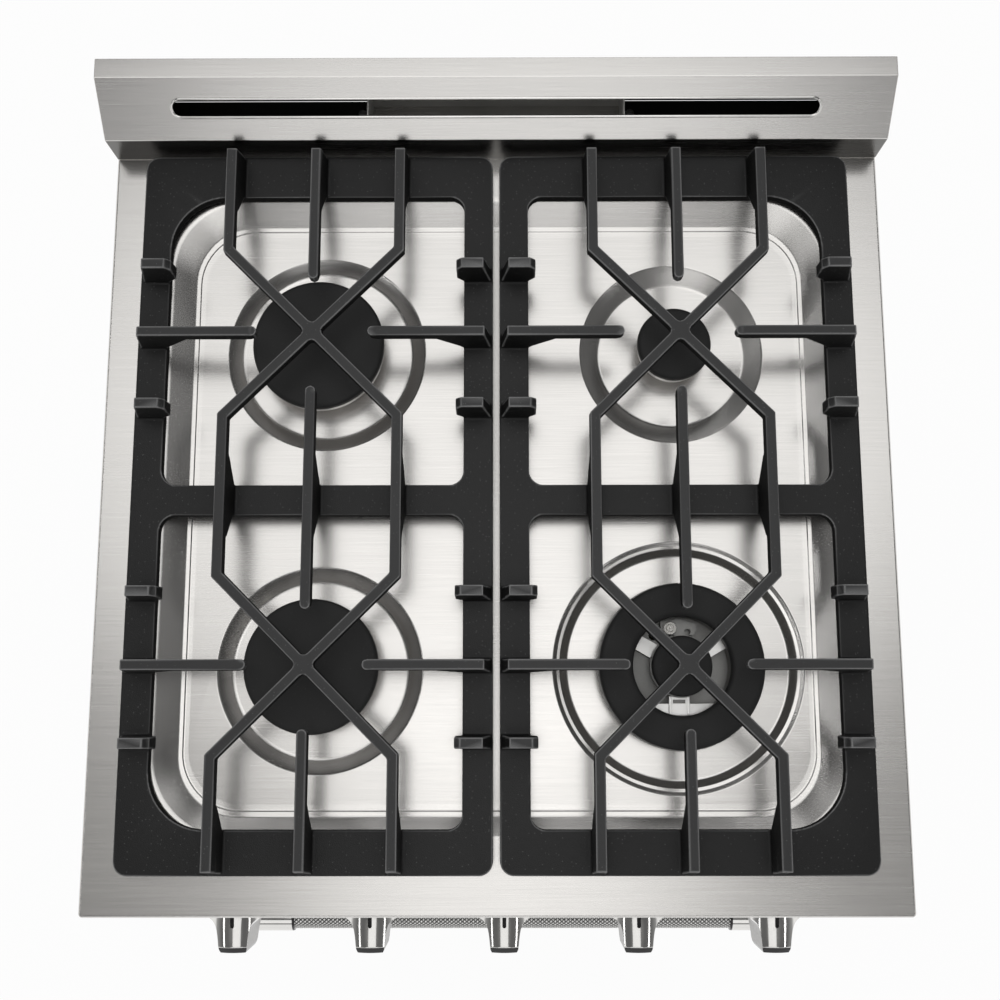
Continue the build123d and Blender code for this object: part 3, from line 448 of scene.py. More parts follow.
def grate_enamel(name, side, flat, edge):
    """Enamel over iron: dull and with painted shade on upright faces, darker low down and paler near the tops, and
    paler along its edges, partly as thin enamel and partly as a painted highlight.
    """
    material, tree, shader = blank(name, Specular_IOR_Level=0.25)
    cast = group_node(tree, MATERIALS["speckle"], Lump_scale=1300.0, Speck_size=0.17).outputs
    shape = tree.nodes.new("ShaderNodeNewGeometry").outputs
    # painted shade: faces that turn away from straight up take the much darker side colour
    level = span(tree, parts_of(tree, shape["Normal"])[2], start=0.35, end=0.97)
    height = parts_of(tree, object_place(tree))[2]
    height_tone = span(tree, height, 0.33, 1.0, RIM + TONE_FROM, RIM + TONE_TO)
    tone = blend(tree, math(tree, "MULTIPLY", level, height_tone), side, flat)
    # paler edges: partly thin enamel, partly a painted highlight
    ridge = span(tree, shape["Pointiness"], start=EDGE_FROM, end=EDGE_TO)
    thin_edge_and_highlight = math(tree, "MULTIPLY", ridge, span(tree, cast["Height"], 0.25, 1.5))
    specks_edges_and_highlight = math(tree, "MAXIMUM", thin_edge_and_highlight, math(tree, "MULTIPLY", cast["Specks"], 0.5), clamp=True)
    gloss = math(tree, "ADD", span(tree, level, 0.75, 0.26), span(tree, cast["Drift"], 0.0, 0.12))
    feed(tree, shader, Base_Color=blend(tree, specks_edges_and_highlight, tone, edge), Roughness=gloss,
         Normal=bump(tree, cast["Height"], 0.5, 0.0004))
    return material


def knurled(name, groove, crest):
    """Bright steel with painted shade in its knurled grooves; the depth is stored on the mesh."""
    material, tree, shader = blank(name, Metallic=1.0)
    depth = add(tree, "ShaderNodeAttribute", attribute_name="groove").outputs["Fac"]
    middle = tuple(0.5 * (a + b) for a, b in zip(groove, crest))
    feed(tree, shader, Base_Color=ramp(tree, depth, [(0.15, groove), (0.5, middle), (0.85, crest)]),
         Roughness=span(tree, depth, 0.45, 0.12))
    return material


def spangled(name, dark, pale, rough, cells=110.0):
    """Zinc coating: flat crystals, each with its own shade and polish."""
    material, tree, shader = blank(name, Metallic=1.0)
    crystals = add(tree, "ShaderNodeTexVoronoi", feature="F1", Scale=cells)
    feed(tree, crystals, Vector=object_place(tree))
    shade, gloss, _ = parts_of(tree, crystals.outputs["Color"], "ShaderNodeSeparateColor")
    feed(tree, shader, Base_Color=ramp(tree, shade, [(0.1, dark), (0.9, pale)]), Roughness=span(tree, gloss, *rough))
    return material


def casting(name, dark, pale, rough, metallic=1.0):
    """A cast or turned surface with a fine lumpy skin."""
    material, tree, shader = blank(name, Metallic=metallic)
    cast = group_node(tree, MATERIALS["speckle"], Lump_scale=700.0).outputs
    feed(tree, shader, Base_Color=ramp(tree, cast["Drift"], [(0.3, dark), (0.7, pale)]),
         Roughness=span(tree, cast["Height"], *rough), Normal=bump(tree, cast["Height"], 0.3, 0.00015))
    return material


def glass(name, colour, weight, rough=0.03):
    """Glass with a thin uneven haze."""
    material, tree, shader = blank(name, Base_Color=colour, IOR=1.5, Transmission_Weight=weight)
    haze = group_node(tree, MATERIALS["grain"], Stretch=(30.0, 30.0, 30.0), Smudge_scale=9.0)
    feed(tree, shader, Roughness=span(tree, haze.outputs["Smudge"], rough, rough + 0.05))
    return material


def fibre(name, dark, pale, lump):
    """Dull fibres: woven seals and insulation."""
    material, tree, shader = blank(name, Roughness=0.9, Specular_IOR_Level=0.1)
    height = group_node(tree, MATERIALS["speckle"], Lump_scale=lump).outputs["Height"]
    feed(tree, shader, Base_Color=ramp(tree, height, [(0.3, dark), (0.7, pale)]),
         Normal=bump(tree, height, 0.8, 0.001))
    return material


GRAIN_ACROSS, GRAIN_UP, GRAIN_NONE = (16.0, 1600.0, 1600.0), (1600.0, 1600.0, 16.0), (500.0, 500.0, 500.0)
CASTINGS = {  # key: name, dark, pale, roughness, metallic
    "aluminium": ("cast aluminium", (0.50, 0.49, 0.48), (0.66, 0.65, 0.64), (0.26, 0.46), 1.0),
    "zinc": ("die-cast zinc", (0.34, 0.34, 0.34), (0.46, 0.46, 0.46), (0.35, 0.55), 1.0),
    "brass": ("machined brass", (0.62, 0.46, 0.20), (0.74, 0.57, 0.28), (0.18, 0.34), 1.0),
    "pipe": ("coated pipe", (0.16, 0.16, 0.165), (0.22, 0.22, 0.225), (0.4, 0.6), 0.0),
    "ceramic": ("glazed ceramic", (0.78, 0.76, 0.72), (0.86, 0.85, 0.82), (0.1, 0.25), 0.0),
    "cast_dark": ("sand-cast aluminium", (0.24, 0.24, 0.233), (0.34, 0.337, 0.327), (0.4, 0.6), 1.0),
    "cast_pale": ("machined aluminium", (0.72, 0.715, 0.70), (0.82, 0.815, 0.80), (0.3, 0.45), 1.0),
    "duct": ("sooted duct", (0.42, 0.415, 0.395), (0.58, 0.57, 0.545), (0.5, 0.7), 0.0),
}
POLISHED = {  # key: name, colour, roughness
    "polished": ("polished steel", (0.72, 0.71, 0.69), (0.05, 0.14)),
    "chrome": ("chromed wire", (0.68, 0.68, 0.68), (0.08, 0.2)),
    "tip": ("tinted chrome", (0.045, 0.045, 0.045), (0.1, 0.2)),
}
ENAMELS = {  # key: name, colour, specks, roughness, and what differs from the usual
    "cap": ("cap enamel", (0.010, 0.010, 0.010), (0.05, 0.05, 0.05), (0.5, 0.62),
            {"size": 0.14, "height": 0.0001, "level": 0.3}),
    "oven": ("oven enamel", (0.012, 0.014, 0.022), (0.22, 0.24, 0.3), (0.12, 0.2),
             {"lump": 300.0, "size": 0.16, "height": 0.00005}),
    "black": ("black enamel", (0.012, 0.012, 0.012), (0.03, 0.03, 0.03), (0.3, 0.42), {}),
    # painted shadow: near black for the guard's hollow and its trays
    "soot": ("flue enamel", (0.006, 0.006, 0.0055), (0.03, 0.03, 0.03), (0.5, 0.6), {}),
    "mark": ("knob mark", (0.006, 0.006, 0.006), (0.006, 0.006, 0.006), (0.5, 0.6), {}),
}


def make_materials(look):
    MATERIALS["grain"] = grain_group()
    MATERIALS["speckle"] = speckle_group()
    steel, iron = tuple(look.steel), tuple(look.iron)
    dark, pale = scaled(steel, 0.92), scaled(steel, 1.06)
    for key, (name, *values) in CASTINGS.items():
        MATERIALS[key] = casting(name, *values)
    for key, (name, *values) in POLISHED.items():
        MATERIALS[key] = polished(name, *values)
    for key, (name, *values, special) in ENAMELS.items():
        MATERIALS[key] = enamel(name, *values, **special)
    MATERIALS["steel"] = brushed_steel("brushed stainless", GRAIN_ACROSS, dark, pale)
    MATERIALS["steel_side"] = brushed_steel("brushed stainless upright", GRAIN_UP, dark, pale)
    # painted shade: a dark copy of the brushed steel, for the guard's front faces under the slope's overhang
    MATERIALS["shade"] = brushed_steel("guard foot steel", GRAIN_ACROSS, (0.13, 0.128, 0.122), (0.17, 0.167, 0.16))
    # painted shade: a dark copy of the steel for the knobs' sideways flanks
    MATERIALS["flank"] = brushed_steel("painted shade flank", GRAIN_NONE, (0.24, 0.236, 0.228), (0.46, 0.452, 0.44),
                                       (0.22, 0.42))
    MATERIALS["galvanised"] = spangled("galvanised sheet", (0.46, 0.47, 0.48), (0.55, 0.56, 0.57), (0.34, 0.5))
    # painted shade: the grooves' colour is far darker than the crests'
    MATERIALS["knurl"] = knurled("knurled steel", (0.07, 0.07, 0.068), (0.95, 0.94, 0.92))
    # the side colour is painted shade; the pale edge colour is partly thin enamel and partly a painted highlight
    MATERIALS["iron"] = grate_enamel("cast iron enamel", scaled(iron, 0.06), iron, (0.18, 0.18, 0.18))
    MATERIALS["wool"] = fibre("mineral wool", (0.42, 0.36, 0.22), (0.66, 0.60, 0.44), 240.0)
    MATERIALS["seal"] = fibre("woven seal", (0.10, 0.10, 0.10), (0.24, 0.24, 0.23), 600.0)
    MATERIALS["dark_glass"] = glass("tinted window", (0.02, 0.02, 0.022), 0.55)
    MATERIALS["clear_glass"] = glass("clear glass", (0.9, 0.93, 0.93), 0.95)


def finish_piece(piece, material, body, slot, *nodes):
    """Gives a piece its finish and its body, and hides the CAD nodes it stands for; slot is not used."""
    if material:
        piece.data.materials.clear()
        piece.data.materials.append(MATERIALS[material])
    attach(piece, body)
    if nodes:
        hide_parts(*nodes)
    return piece


# ---- sizes a user would change ----------------------------------------------------------
class RangeLook(bpy.types.PropertyGroup):
    steel: FloatVectorProperty(name="Steel", description="Base colour of the stainless sheet", size=3,
                               subtype="COLOR", default=(0.67, 0.655, 0.635))
    iron: FloatVectorProperty(name="Iron", description="Base colour of the grates' enamel", size=3,
                              subtype="COLOR", default=(0.029, 0.029, 0.0294))
    floor: FloatVectorProperty(name="Floor", description="Colour of the floor", size=3, subtype="COLOR",
                               default=(0.9, 0.9, 0.9))


class GrateSizes(bpy.types.PropertyGroup):
    top_width: FloatProperty(name="Finger top", description="Width of a finger along its top edge",
                             unit="LENGTH", default=0.0076)
    foot_width: FloatProperty(name="Finger foot", description="Width of a finger where it meets the band",
                              unit="LENGTH", default=0.0098)
    voxel: FloatProperty(name="Casting grain", description="Voxel size used to blend the casting",
                         unit="LENGTH", default=0.0008)


class KnurlSizes(bpy.types.PropertyGroup):
    pitch: FloatProperty(name="Pitch", description="Distance between knurl lines", unit="LENGTH", default=0.0036)
    depth: FloatProperty(name="Depth", description="Depth of the knurl", unit="LENGTH", default=0.0009)
    around: IntProperty(name="Rows round", description="Grid rows round the sleeve", default=140)


# ---- cooktop ---------------------------------------------------------------------------
# Sizes are in mm; places are across from the middle and back from the cooktop's front edge.
WELLS = {"front_left": (77.5, 66.5), "back_left": (77.5, 66.5), "back_right": (71.6, 57.4),
         "front_right": (94.2, 86.0)}        # radius at the rim and at the foot
WELL_SHIFT = {"front_left": (4.0, -2.0), "back_left": (4.0, -2.0), "back_right": (0.0, -2.0)}
BURNER_HOLES = {"front_right": 46.0}
PLAIN_HOLE = 17.0
PAN_DEPTH, WELL_DEPTH = 11.0, 7.0
RECESS_TOP = (260.0, 56.0, 552.0, 57.0)      # half width, front, back, corner radius
RECESS_BEND = (242.0, 68.0, 532.0, 48.0)
RECESS_FOOT = (232.0, 80.0, 521.0, 40.0)
RECESS_WALL = ((0.0, 0.0), (0.05, 0.01), (0.10, 0.06), (0.14, 0.12), (0.56, 0.835), (0.58, 0.865), (0.62, 0.90),
               (0.65, 0.911), (0.74, 0.922), (0.755, 0.933), (0.785, 0.970), (0.80, 0.981), (0.84, 0.986),
               (0.95, 0.996), (1.0, 1.0))    # share of the wall's width, share of its depth
RECESS_SHIFT = 2.0                           # the recess lies a little to the right of the rim's middle
HEM_ROUND, HEM_STEPS = 2.2, 6
SHEET_CORNER, CORNER_STEPS = 3.0, 14
SHEET = 1.1


def wall_share(t):
    """Share of the recess's depth at a share of its wall's width."""
    for (t0, d0), (t1, d1) in zip(RECESS_WALL, RECESS_WALL[1:]):
        if t <= t1:
            return d0 + (d1 - d0) * (t - t0) / (t1 - t0)
    return 1.0


def recess_loop(bm, t):
    """One loop down the recess wall, t from 0 at the rim to 1 at the floor."""
    first, second = (RECESS_TOP, RECESS_BEND) if t < 0.5 else (RECESS_BEND, RECESS_FOOT)
    part = t * 2 if t < 0.5 else t * 2 - 1
    half, front, back, radius = (a + (b - a) * part for a, b in zip(first, second))
    outline = rounded_outline(-half, half, front, back, [radius] * 4, CORNER_STEPS)
    return [bm.verts.new(top(x + RECESS_SHIFT, y, -PAN_DEPTH * wall_share(t))) for x, y in outline]


def circle(bm, x, y, radius, z, steps=128):
    turns = (2 * pi * step / steps for step in range(steps))
    return [bm.verts.new(top(x + radius * cos(turn), y + radius * sin(turn), z)) for turn in turns]


def well_profile(name, rim_r, foot_r):
    """Radius and depth pairs down a well's wall, in mm."""
    deep = WELL_DEPTH
    if name == "front_right":   # two narrow steps with a flat between them
        inward = ((-1.6, 0), (-0.9, 0.12), (0.3, 0.9), (1.6, 1.7), (2.1, 1.85), (3.9, 2.0), (4.5, 2.2), (6.3, 4.0),
                  (8.6, 6.2), (9.6, deep - 0.1), (10.8, deep))
        return [(rim_r - step, depth) for step, depth in inward]
    return [(rim_r + 1.0, 0), (rim_r + 0.4, 0.1), (rim_r - 0.3, 0.5), (rim_r - 1.2, 1.0), (foot_r + 2.0, deep - 1.0),
            (foot_r + 0.8, deep - 0.45), (foot_r - 0.3, deep - 0.12), (foot_r - 1.6, deep)]


def build_cooktop():
    """Pressed top: rim, folded skirt, soft recess and four wells."""
    low, high = local_mm(TOP_LOW), local_mm(TOP_HIGH)
    bm = bmesh.new()

    def outer(inset, z):
        outline = rounded_outline(low.x + inset, high.x - inset, low.y + inset, high.y - inset,
                                  [max(SHEET_CORNER - inset, 1.0)] * 4, CORNER_STEPS)
        return [bm.verts.new(top(x, y, z)) for x, y in outline]

    hem = [outer(1.6, low.z + 0.5), outer(0.6, low.z), outer(0.0, low.z + 0.8), outer(0.0, low.z + 6)]
    for step in range(HEM_STEPS + 1):
        turn = radians(90 * step / HEM_STEPS)
        hem.append(outer(HEM_ROUND * (1 - cos(turn)), -HEM_ROUND * (1 - sin(turn))))
    loops = hem + [recess_loop(bm, t) for t, _ in RECESS_WALL]
    stack_faces(bm, loops)
    well_tops = []
    for name, (rim_r, foot_r) in WELLS.items():
        centre = local_mm(middle_of(name + "_burner"))
        across, along = WELL_SHIFT.get(name, (0.0, 0.0))
        rings = [circle(bm, centre.x + across, centre.y + along, radius, -PAN_DEPTH - depth)
                 for radius, depth in well_profile(name, rim_r, foot_r)]
        rings.append(circle(bm, centre.x, centre.y, BURNER_HOLES.get(name, PLAIN_HOLE), -PAN_DEPTH - WELL_DEPTH))
        stack_faces(bm, rings)
        well_tops.append(rings[0])
    flat_fill(bm, [loops[-1], *well_tops])
    bmesh.ops.recalc_face_normals(bm, faces=bm.faces)
    piece = object_from("cooktop_pressing", bm)
    solid = piece.modifiers.new("sheet", "SOLIDIFY")
    solid.thickness = SHEET * MM
    solid.offset = -1.0
    bake(piece)
    smooth(piece, 40)
    return finish_piece(piece, "steel", "range", "stainless", "cooktop_panel")


# The guard in side view: front foot, step, crest, back edge.
GUARD_FRONT, GUARD_CREST, GUARD_BACK = 583.7, 618.9, 634.6
GUARD_STEP, GUARD_CREST_TOP, GUARD_BACK_TOP = 33.3, 65.9, 66.2
GUARD = ((GUARD_FRONT, 0.0), (GUARD_FRONT, GUARD_STEP), (GUARD_CREST, GUARD_CREST_TOP),
         (GUARD_BACK, GUARD_BACK_TOP), (GUARD_BACK, 0.0))
GUARD_WALL = 1.4
SLOT_MIDDLE, SLOT_HALF, SLOT_R = 602.0, 247.5, 6.5
RIM_SIDES, RIM_WIDE, RIM_TALL = 10, 1.2, 1.1    # sides and half sizes of the slot's rolled rim
STEEL, SHADE, BRIGHT = 0, 2, 3                  # places of these finishes on the guard's mesh; 1 is the painted shadow black inside, and SHADE marks painted shade on faces that look to the front
FRONTWARD = -0.97                               # a normal's y on faces that look to the front
HEM_R = 1.15
TRAY_START, TRAY_LOW, TRAY_HIGH = 102, -0.8, 0.4
SCREW_X, SCREW_Y = 107.5, 622
SCREW_HEAD = ((0, 0), (3.4, 0), (3.4, 1.0), (2.6, 1.9), (1.2, 2.1), (1.1, 1.2), (0, 1.2))


def slope_place(x, along, out):
    """A point on the guard's sloped face: x across, along up the slope, out of its surface."""
    (y0, z0), (y1, z1) = GUARD[1], GUARD[2]
    slope = atan2(z1 - z0, y1 - y0)
    z = z0 + (SLOT_MIDDLE - y0) * tan(slope)
    return top(x, SLOT_MIDDLE + along * cos(slope) - out * sin(slope), z + along * sin(slope) + out * cos(slope))


def stadium(half, radius, steps=16):
    """A slot's outline, round at both ends."""
    points = []
    for side in (1, -1):
        for step in range(steps + 1):
            turn = radians(-90 + 180 * step / steps)
            points.append((side * (half - radius + radius * cos(turn)), side * radius * sin(turn)))
    return points


def slot_rim():
    """A thin loop of bar round the slot."""
    bm = bmesh.new()
    rings = []
    for step in range(RIM_SIDES):
        turn = 2 * pi * step / RIM_SIDES
        grow, out = 0.5 + RIM_WIDE * cos(turn), RIM_TALL * sin(turn) - 0.2
        outline = stadium(SLOT_HALF + grow, SLOT_R + grow)
        rings.append([bm.verts.new(slope_place(x, along, out)) for x, along in outline])
    stack_faces(bm, rings + rings[:1])
    bmesh.ops.recalc_face_normals(bm, faces=bm.faces)
    for face in bm.faces:
        face.material_index = BRIGHT
    return object_from("slot_rim", bm)


def build_guard():
    """Folded vent guard with a rolled rim round its slot and painted shade on its front faces; its hollow and the
    trays seen through it are painted near black as shadow.
    """
    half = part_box("rear_vent_guard")[1][0] / MM
    across = lambda y, z, x: top(x, y, z)
    shell = prism("vent_guard", GUARD, -half, half, across)
    shell.data.materials.append(MATERIALS["steel"])
    inside = [(GUARD_FRONT + GUARD_WALL, -2), (GUARD_FRONT + GUARD_WALL, GUARD_STEP - 0.6),
              (GUARD_CREST + 0.5, GUARD_CREST_TOP - 3.2), (GUARD_BACK - GUARD_WALL, GUARD_BACK_TOP - 1.6),
              (GUARD_BACK - GUARD_WALL, -2)]
    lining = prism("hollow", inside, -half + GUARD_WALL, half - GUARD_WALL, across)
    # painted shadow: the hollow's inner faces take the near black finish
    lining.data.materials.append(MATERIALS["soot"])
    cut(shell, lining)
    # painted shade: the darker steel for the front faces that sit in the slope's shadow
    shell.data.materials.append(MATERIALS["shade"])
    cut(shell, prism("slot", stadium(SLOT_HALF, SLOT_R), -6, 6, slope_place))
    soften(shell, 0.9, 3)
    # the front-facing steel faces take the painted shade
    for face in shell.data.polygons:
        if face.normal.y < FRONTWARD and face.material_index == STEEL:
            face.material_index = SHADE
    shell.data.materials.append(MATERIALS["polished"])
    hem_half = half - 0.6
    hem = lathe("hem", [(0, -hem_half), (HEM_R, -hem_half), (HEM_R, hem_half), (0, hem_half)],
                top(0, GUARD_BACK - 1.3, GUARD_BACK_TOP - 1.2), 20, "X")
    join(shell, slot_rim(), hem)
    smooth(shell, 38)
    for sign in (-1, 1):   # tray painted near black as shadow either side of the duct, with a fixing screw
        tray = prism("painted_shadow_tray", rectangle(GUARD_FRONT + 1.8, TRAY_LOW, GUARD_BACK - 1.7, TRAY_HIGH),
                     sign * TRAY_START, sign * (half - 2.0), across)
        smooth(tray)
        finish_piece(tray, "soot", "range", "stainless")
        screw = lathe("guard_screw", SCREW_HEAD, top(sign * SCREW_X, SCREW_Y, TRAY_HIGH), 32)
        smooth(screw)
        finish_piece(screw, "zinc", "range", "zinc_casting")
    return finish_piece(shell, None, "range", "stainless", "rear_vent_guard")


# ---- grates ------------------------------------------------------------------------------
# Heights above the rim and places on the right grate, in mm; the left one is its mirror image.
BAND_LOW, BAND_HIGH, FINGER_LOW, FINGER_HIGH = 6.0, 15.0, 35.0, 44.5
INNER, OUTER, FRONT_EDGE, BACK_EDGE = 2.5, 275.3, 31.0, 578.5
WINDOWS = ((63.0, 292.7), (315.6, 544.7))
WINDOW_X = (24.8, 253.0)
WINDOW_CORNERS = ((11, 42, 12, 11), (11, 12, 42, 11))
BURNER_X, BURNER_Y, CROSS = 137.5, (180.3, 427.3), 64.3
GUSSET = FINGER_LOW - BAND_HIGH
FREE_TIPS = (131.2, 223.8, 381.2, 471.8)     # where the middle fingers end over the burners
SIDE_TIPS = (92.2, 182.8)
BAR_TIPS = (100, 508)                        # where the crossing bars' own end fingers stop
STUB_TIPS = (30, 246)
STUBS = (-55, 53)                            # short ribs before and behind each burner
OUTER_START = OUTER - 1.8
TIP_BEVEL = 1.5
BRIDGES = (                                  # ribs on the middle band: place across, start, end, bevel
    (BURNER_X + CROSS, 280, 330, TIP_BEVEL), (BURNER_X, FREE_TIPS[1], FREE_TIPS[2], TIP_BEVEL),
    (BURNER_X - CROSS, 270, 338, 0.0))
FEET_X, FEET_Y = (14.0, OUTER - 13), (44.0, BACK_EDGE - 14)
FOOT = ((0, 0), (6.5, 0), (8, 1.5), (8, BAND_LOW + 3), (0, BAND_LOW + 3))


def finger_half(sizes, z):
    """Half a finger's width at a height: wider towards its foot."""
    spread = (sizes.foot_width - sizes.top_width) / MM / 2
    return sizes.top_width / MM / 2 + spread * max(0.0, (FINGER_HIGH - z) / (FINGER_HIGH - BAND_HIGH))


def tapered_bar(bm, start, end, low, high, sizes):
    """A straight bar between two plan points, wider at its foot than along its top."""
    a, b = Vector(start), Vector(end)
    along = (b - a).normalized()
    side = Vector((-along.y, along.x))
    half_top, half_low = finger_half(sizes, high), finger_half(sizes, low)
    corners = []
    for point in (a, b):
        for half, z in ((half_low, low), (half_top, high)):
            for sign in (-1, 1):
                place = point + side * half * sign
                corners.append(bm.verts.new(top(place.x, place.y, z)))
    for face in ((0, 1, 3, 2), (4, 6, 7, 5), (0, 2, 6, 4), (1, 5, 7, 3), (2, 3, 7, 6), (0, 4, 5, 1)):
        bm.faces.new([corners[i] for i in face])


def rib(bm, outline, across, along_y, sizes):
    """An upright rib from its side outline of (place, height) pairs."""
    rings = []
    for sign in (-1, 1):
        ring = []
        for place, z in outline:
            offset = across + sign * finger_half(sizes, z)
            ring.append(bm.verts.new(top(offset, place, z) if along_y else top(place, offset, z)))
        rings.append(ring)
    bm.faces.new(rings[0])
    bm.faces.new(reversed(rings[1]))
    ring_faces(bm, rings[0], rings[1])


def upright(bm, outline):
    """A closed post with a plan outline, as tall as the fingers."""
    low = [bm.verts.new(top(x, y, FINGER_LOW)) for x, y in outline]
    high = [bm.verts.new(top(x, y, FINGER_HIGH)) for x, y in outline]
    bm.faces.new(low)
    bm.faces.new(high)
    ring_faces(bm, low, high)


def hub(bm, x, y, half, radius=4.2):
    """Fills the inner corners of a crossing with fillets."""
    reach = (half + radius) * 2 ** 0.5
    outline = []
    for corner in (0, 90, 180, 270):
        middle_x, middle_y = x + reach * cos(radians(corner)), y + reach * sin(radians(corner))
        for step in range(9):
            turn = radians(corner + 225 - 90 * step / 8)
            outline.append((middle_x + radius * cos(turn), middle_y + radius * sin(turn)))
    upright(bm, outline)


def end_outline(outer, band_inner, tip, slope=5.0):
    """Side outline of a finger that starts on an outer band and ends free in the open."""
    sign = 1 if tip > outer else -1
    return [(outer, BAND_HIGH - 3), (band_inner, BAND_HIGH - 3), (band_inner, BAND_HIGH),
            (band_inner + sign * GUSSET, FINGER_LOW), (tip - sign * TIP_BEVEL, FINGER_LOW),
            (tip, FINGER_LOW + TIP_BEVEL), (tip, FINGER_HIGH), (outer + sign * slope, FINGER_HIGH),
            (outer + sign * 0.8, BAND_HIGH + 2)]


def stub_outline(outer, band_inner, tip):
    """Side outline of a short rib across a side band, overhanging the window a little."""
    sign = 1 if tip > outer else -1
    return [(outer, BAND_HIGH - 3), (band_inner, BAND_HIGH - 3), (band_inner, BAND_HIGH), (tip, BAND_HIGH + 7),
            (tip, FINGER_HIGH - 5), (tip - sign * 4, FINGER_HIGH), (outer + sign * 6, FINGER_HIGH),
            (outer + sign * 0.8, BAND_HIGH + 2)]


def bridge_outline(start, end, bevel):
    """Side outline of a rib that stands on the middle band and reaches both ways."""
    low, high = WINDOWS[0][1], WINDOWS[1][0]
    return [(low, BAND_HIGH - 3), (high, BAND_HIGH - 3), (high, BAND_HIGH), (high + GUSSET, FINGER_LOW),
            (end - bevel, FINGER_LOW), (end, FINGER_LOW + bevel), (end, FINGER_HIGH), (start, FINGER_HIGH),
            (start, FINGER_LOW + bevel), (start + bevel, FINGER_LOW), (low - GUSSET, FINGER_LOW), (low, BAND_HIGH)]


def grate_frame(bm):
    """The flat band round the two windows."""
    outline = rounded_outline(INNER, OUTER, FRONT_EDGE, BACK_EDGE, [10.0] * 4, 8)
    levels = []
    for z in (BAND_HIGH, BAND_LOW):
        loops = [[bm.verts.new(top(x, y, z)) for x, y in outline]]
        for (low, high), corners in zip(WINDOWS, WINDOW_CORNERS):
            window = rounded_outline(*WINDOW_X, low, high, corners, 12)
            loops.append([bm.verts.new(top(x, y, z)) for x, y in window])
        flat_fill(bm, loops)
        levels.append(loops)
    for lower, upper in zip(levels[1], levels[0]):
        ring_faces(bm, lower, upper)


def crossing_bars(bm, sizes):
    """Two bars that run from front to back and cross over both burners, with their end fingers."""
    for side in (1, -1):
        x0, x1 = BURNER_X - side * CROSS, BURNER_X + side * CROSS
        path = [(x0, FRONT_EDGE + 8), (x0, BURNER_Y[0] - CROSS), (x1, BURNER_Y[0] + CROSS),
                (x1, BURNER_Y[1] - CROSS), (x0, BURNER_Y[1] + CROSS), (x0, BACK_EDGE - 8)]
        for start, end in zip(path, path[1:]):
            a, b = Vector(start), Vector(end)
            over = (b - a).normalized() * 1.6
            tapered_bar(bm, a - over, b + over, FINGER_LOW, FINGER_HIGH, sizes)
        rib(bm, end_outline(FRONT_EDGE + 1, WINDOWS[0][0], BAR_TIPS[0]), x0, True, sizes)
        rib(bm, end_outline(BACK_EDGE - 1, WINDOWS[1][1], BAR_TIPS[1]), x0, True, sizes)


def grate_casting(sizes):
    """The right grate as overlapping closed solids, before they are blended."""
    bm = bmesh.new()
    grate_frame(bm)
    crossing_bars(bm, sizes)
    half_top = finger_half(sizes, FINGER_HIGH)
    for y in BURNER_Y:
        hub(bm, BURNER_X, y, half_top)
    tips = [(BURNER_X, y) for y in FREE_TIPS] + [(x, y) for x in SIDE_TIPS for y in BURNER_Y]
    for x, y in tips:
        upright(bm, [(x + half_top * cos(radians(turn)), y + half_top * sin(radians(turn)))
                     for turn in range(0, 360, 20)])
    for across, *ends in BRIDGES:
        rib(bm, bridge_outline(*ends), across, True, sizes)
    rib(bm, end_outline(FRONT_EDGE + 1, WINDOWS[0][0], FREE_TIPS[0]), BURNER_X, True, sizes)
    rib(bm, end_outline(BACK_EDGE - 1, WINDOWS[1][1], FREE_TIPS[3]), BURNER_X, True, sizes)
    for y in BURNER_Y:
        rib(bm, end_outline(INNER + 1, WINDOW_X[0], SIDE_TIPS[0]), y, False, sizes)
        rib(bm, end_outline(OUTER_START, WINDOW_X[1], SIDE_TIPS[1]), y, False, sizes)
        for stub in STUBS:
            rib(bm, stub_outline(INNER + 1, WINDOW_X[0], STUB_TIPS[0]), y + stub, False, sizes)
            rib(bm, stub_outline(OUTER_START, WINDOW_X[1], STUB_TIPS[1]), y + stub, False, sizes)
    bmesh.ops.recalc_face_normals(bm, faces=bm.faces)
    return object_from("right_grate_casting", bm)


KEPT_FACES = 0.11       # share of the blended casting's faces that is kept


def build_grates(sizes):
    """Both cast grates: one blended casting and its mirror image."""
    casting = grate_casting(sizes)
    join(casting, *(lathe("foot", FOOT, top(x, y, 0), 24) for x in FEET_X for y in FEET_Y))
    remesh = casting.modifiers.new("blend", "REMESH")
    remesh.mode = "VOXEL"
    remesh.voxel_size = sizes.voxel
    relax = casting.modifiers.new("relax", "SMOOTH")
    relax.factor = 0.5
    relax.iterations = 1
    thin = casting.modifiers.new("thin", "DECIMATE")
    thin.ratio = KEPT_FACES
    bake(casting)
    casting.data.shade_smooth()
    other = casting.copy()
    other.data = casting.data.copy()
    other.name = "left_grate_casting"
    bpy.context.scene.collection.objects.link(other)
    other.data.transform(Matrix.Scale(-1, 4, (1, 0, 0)))
    other.data.flip_normals()
    finish_piece(casting, "iron", "right_grate", "cast_iron", "right_grate")
    finish_piece(other, "iron", "left_grate", "cast_iron", "left_grate")


# ---- burners ------------------------------------------------------------------------------
CAP_LOW, CAP_HIGH, CAP_BORE_R = 3.0, 11.6, 22.4
RING_OUTER, RING_BORE, RING_HIGH = 61.4, 36.4, 11.3


def cap_outline(radius):
    """A plain cap's half section: a shallow dish below, a crowned top and a rounded rim."""
    rim = [(radius - 0.9, CAP_LOW), (radius - 0.2, CAP_LOW + 0.5), (radius, CAP_LOW + 1.4), (radius, 7.6),
           (radius - 0.25, 8.8), (radius - 0.9, 9.8), (radius - 2.0, 10.5), (radius - 4.0, 10.95)]
    return [(0, 5.5), (radius - 14, 5.5), (radius - 12, CAP_LOW)] + rim + [(radius * 0.5, CAP_HIGH - 0.1),
                                                                          (0, CAP_HIGH)]


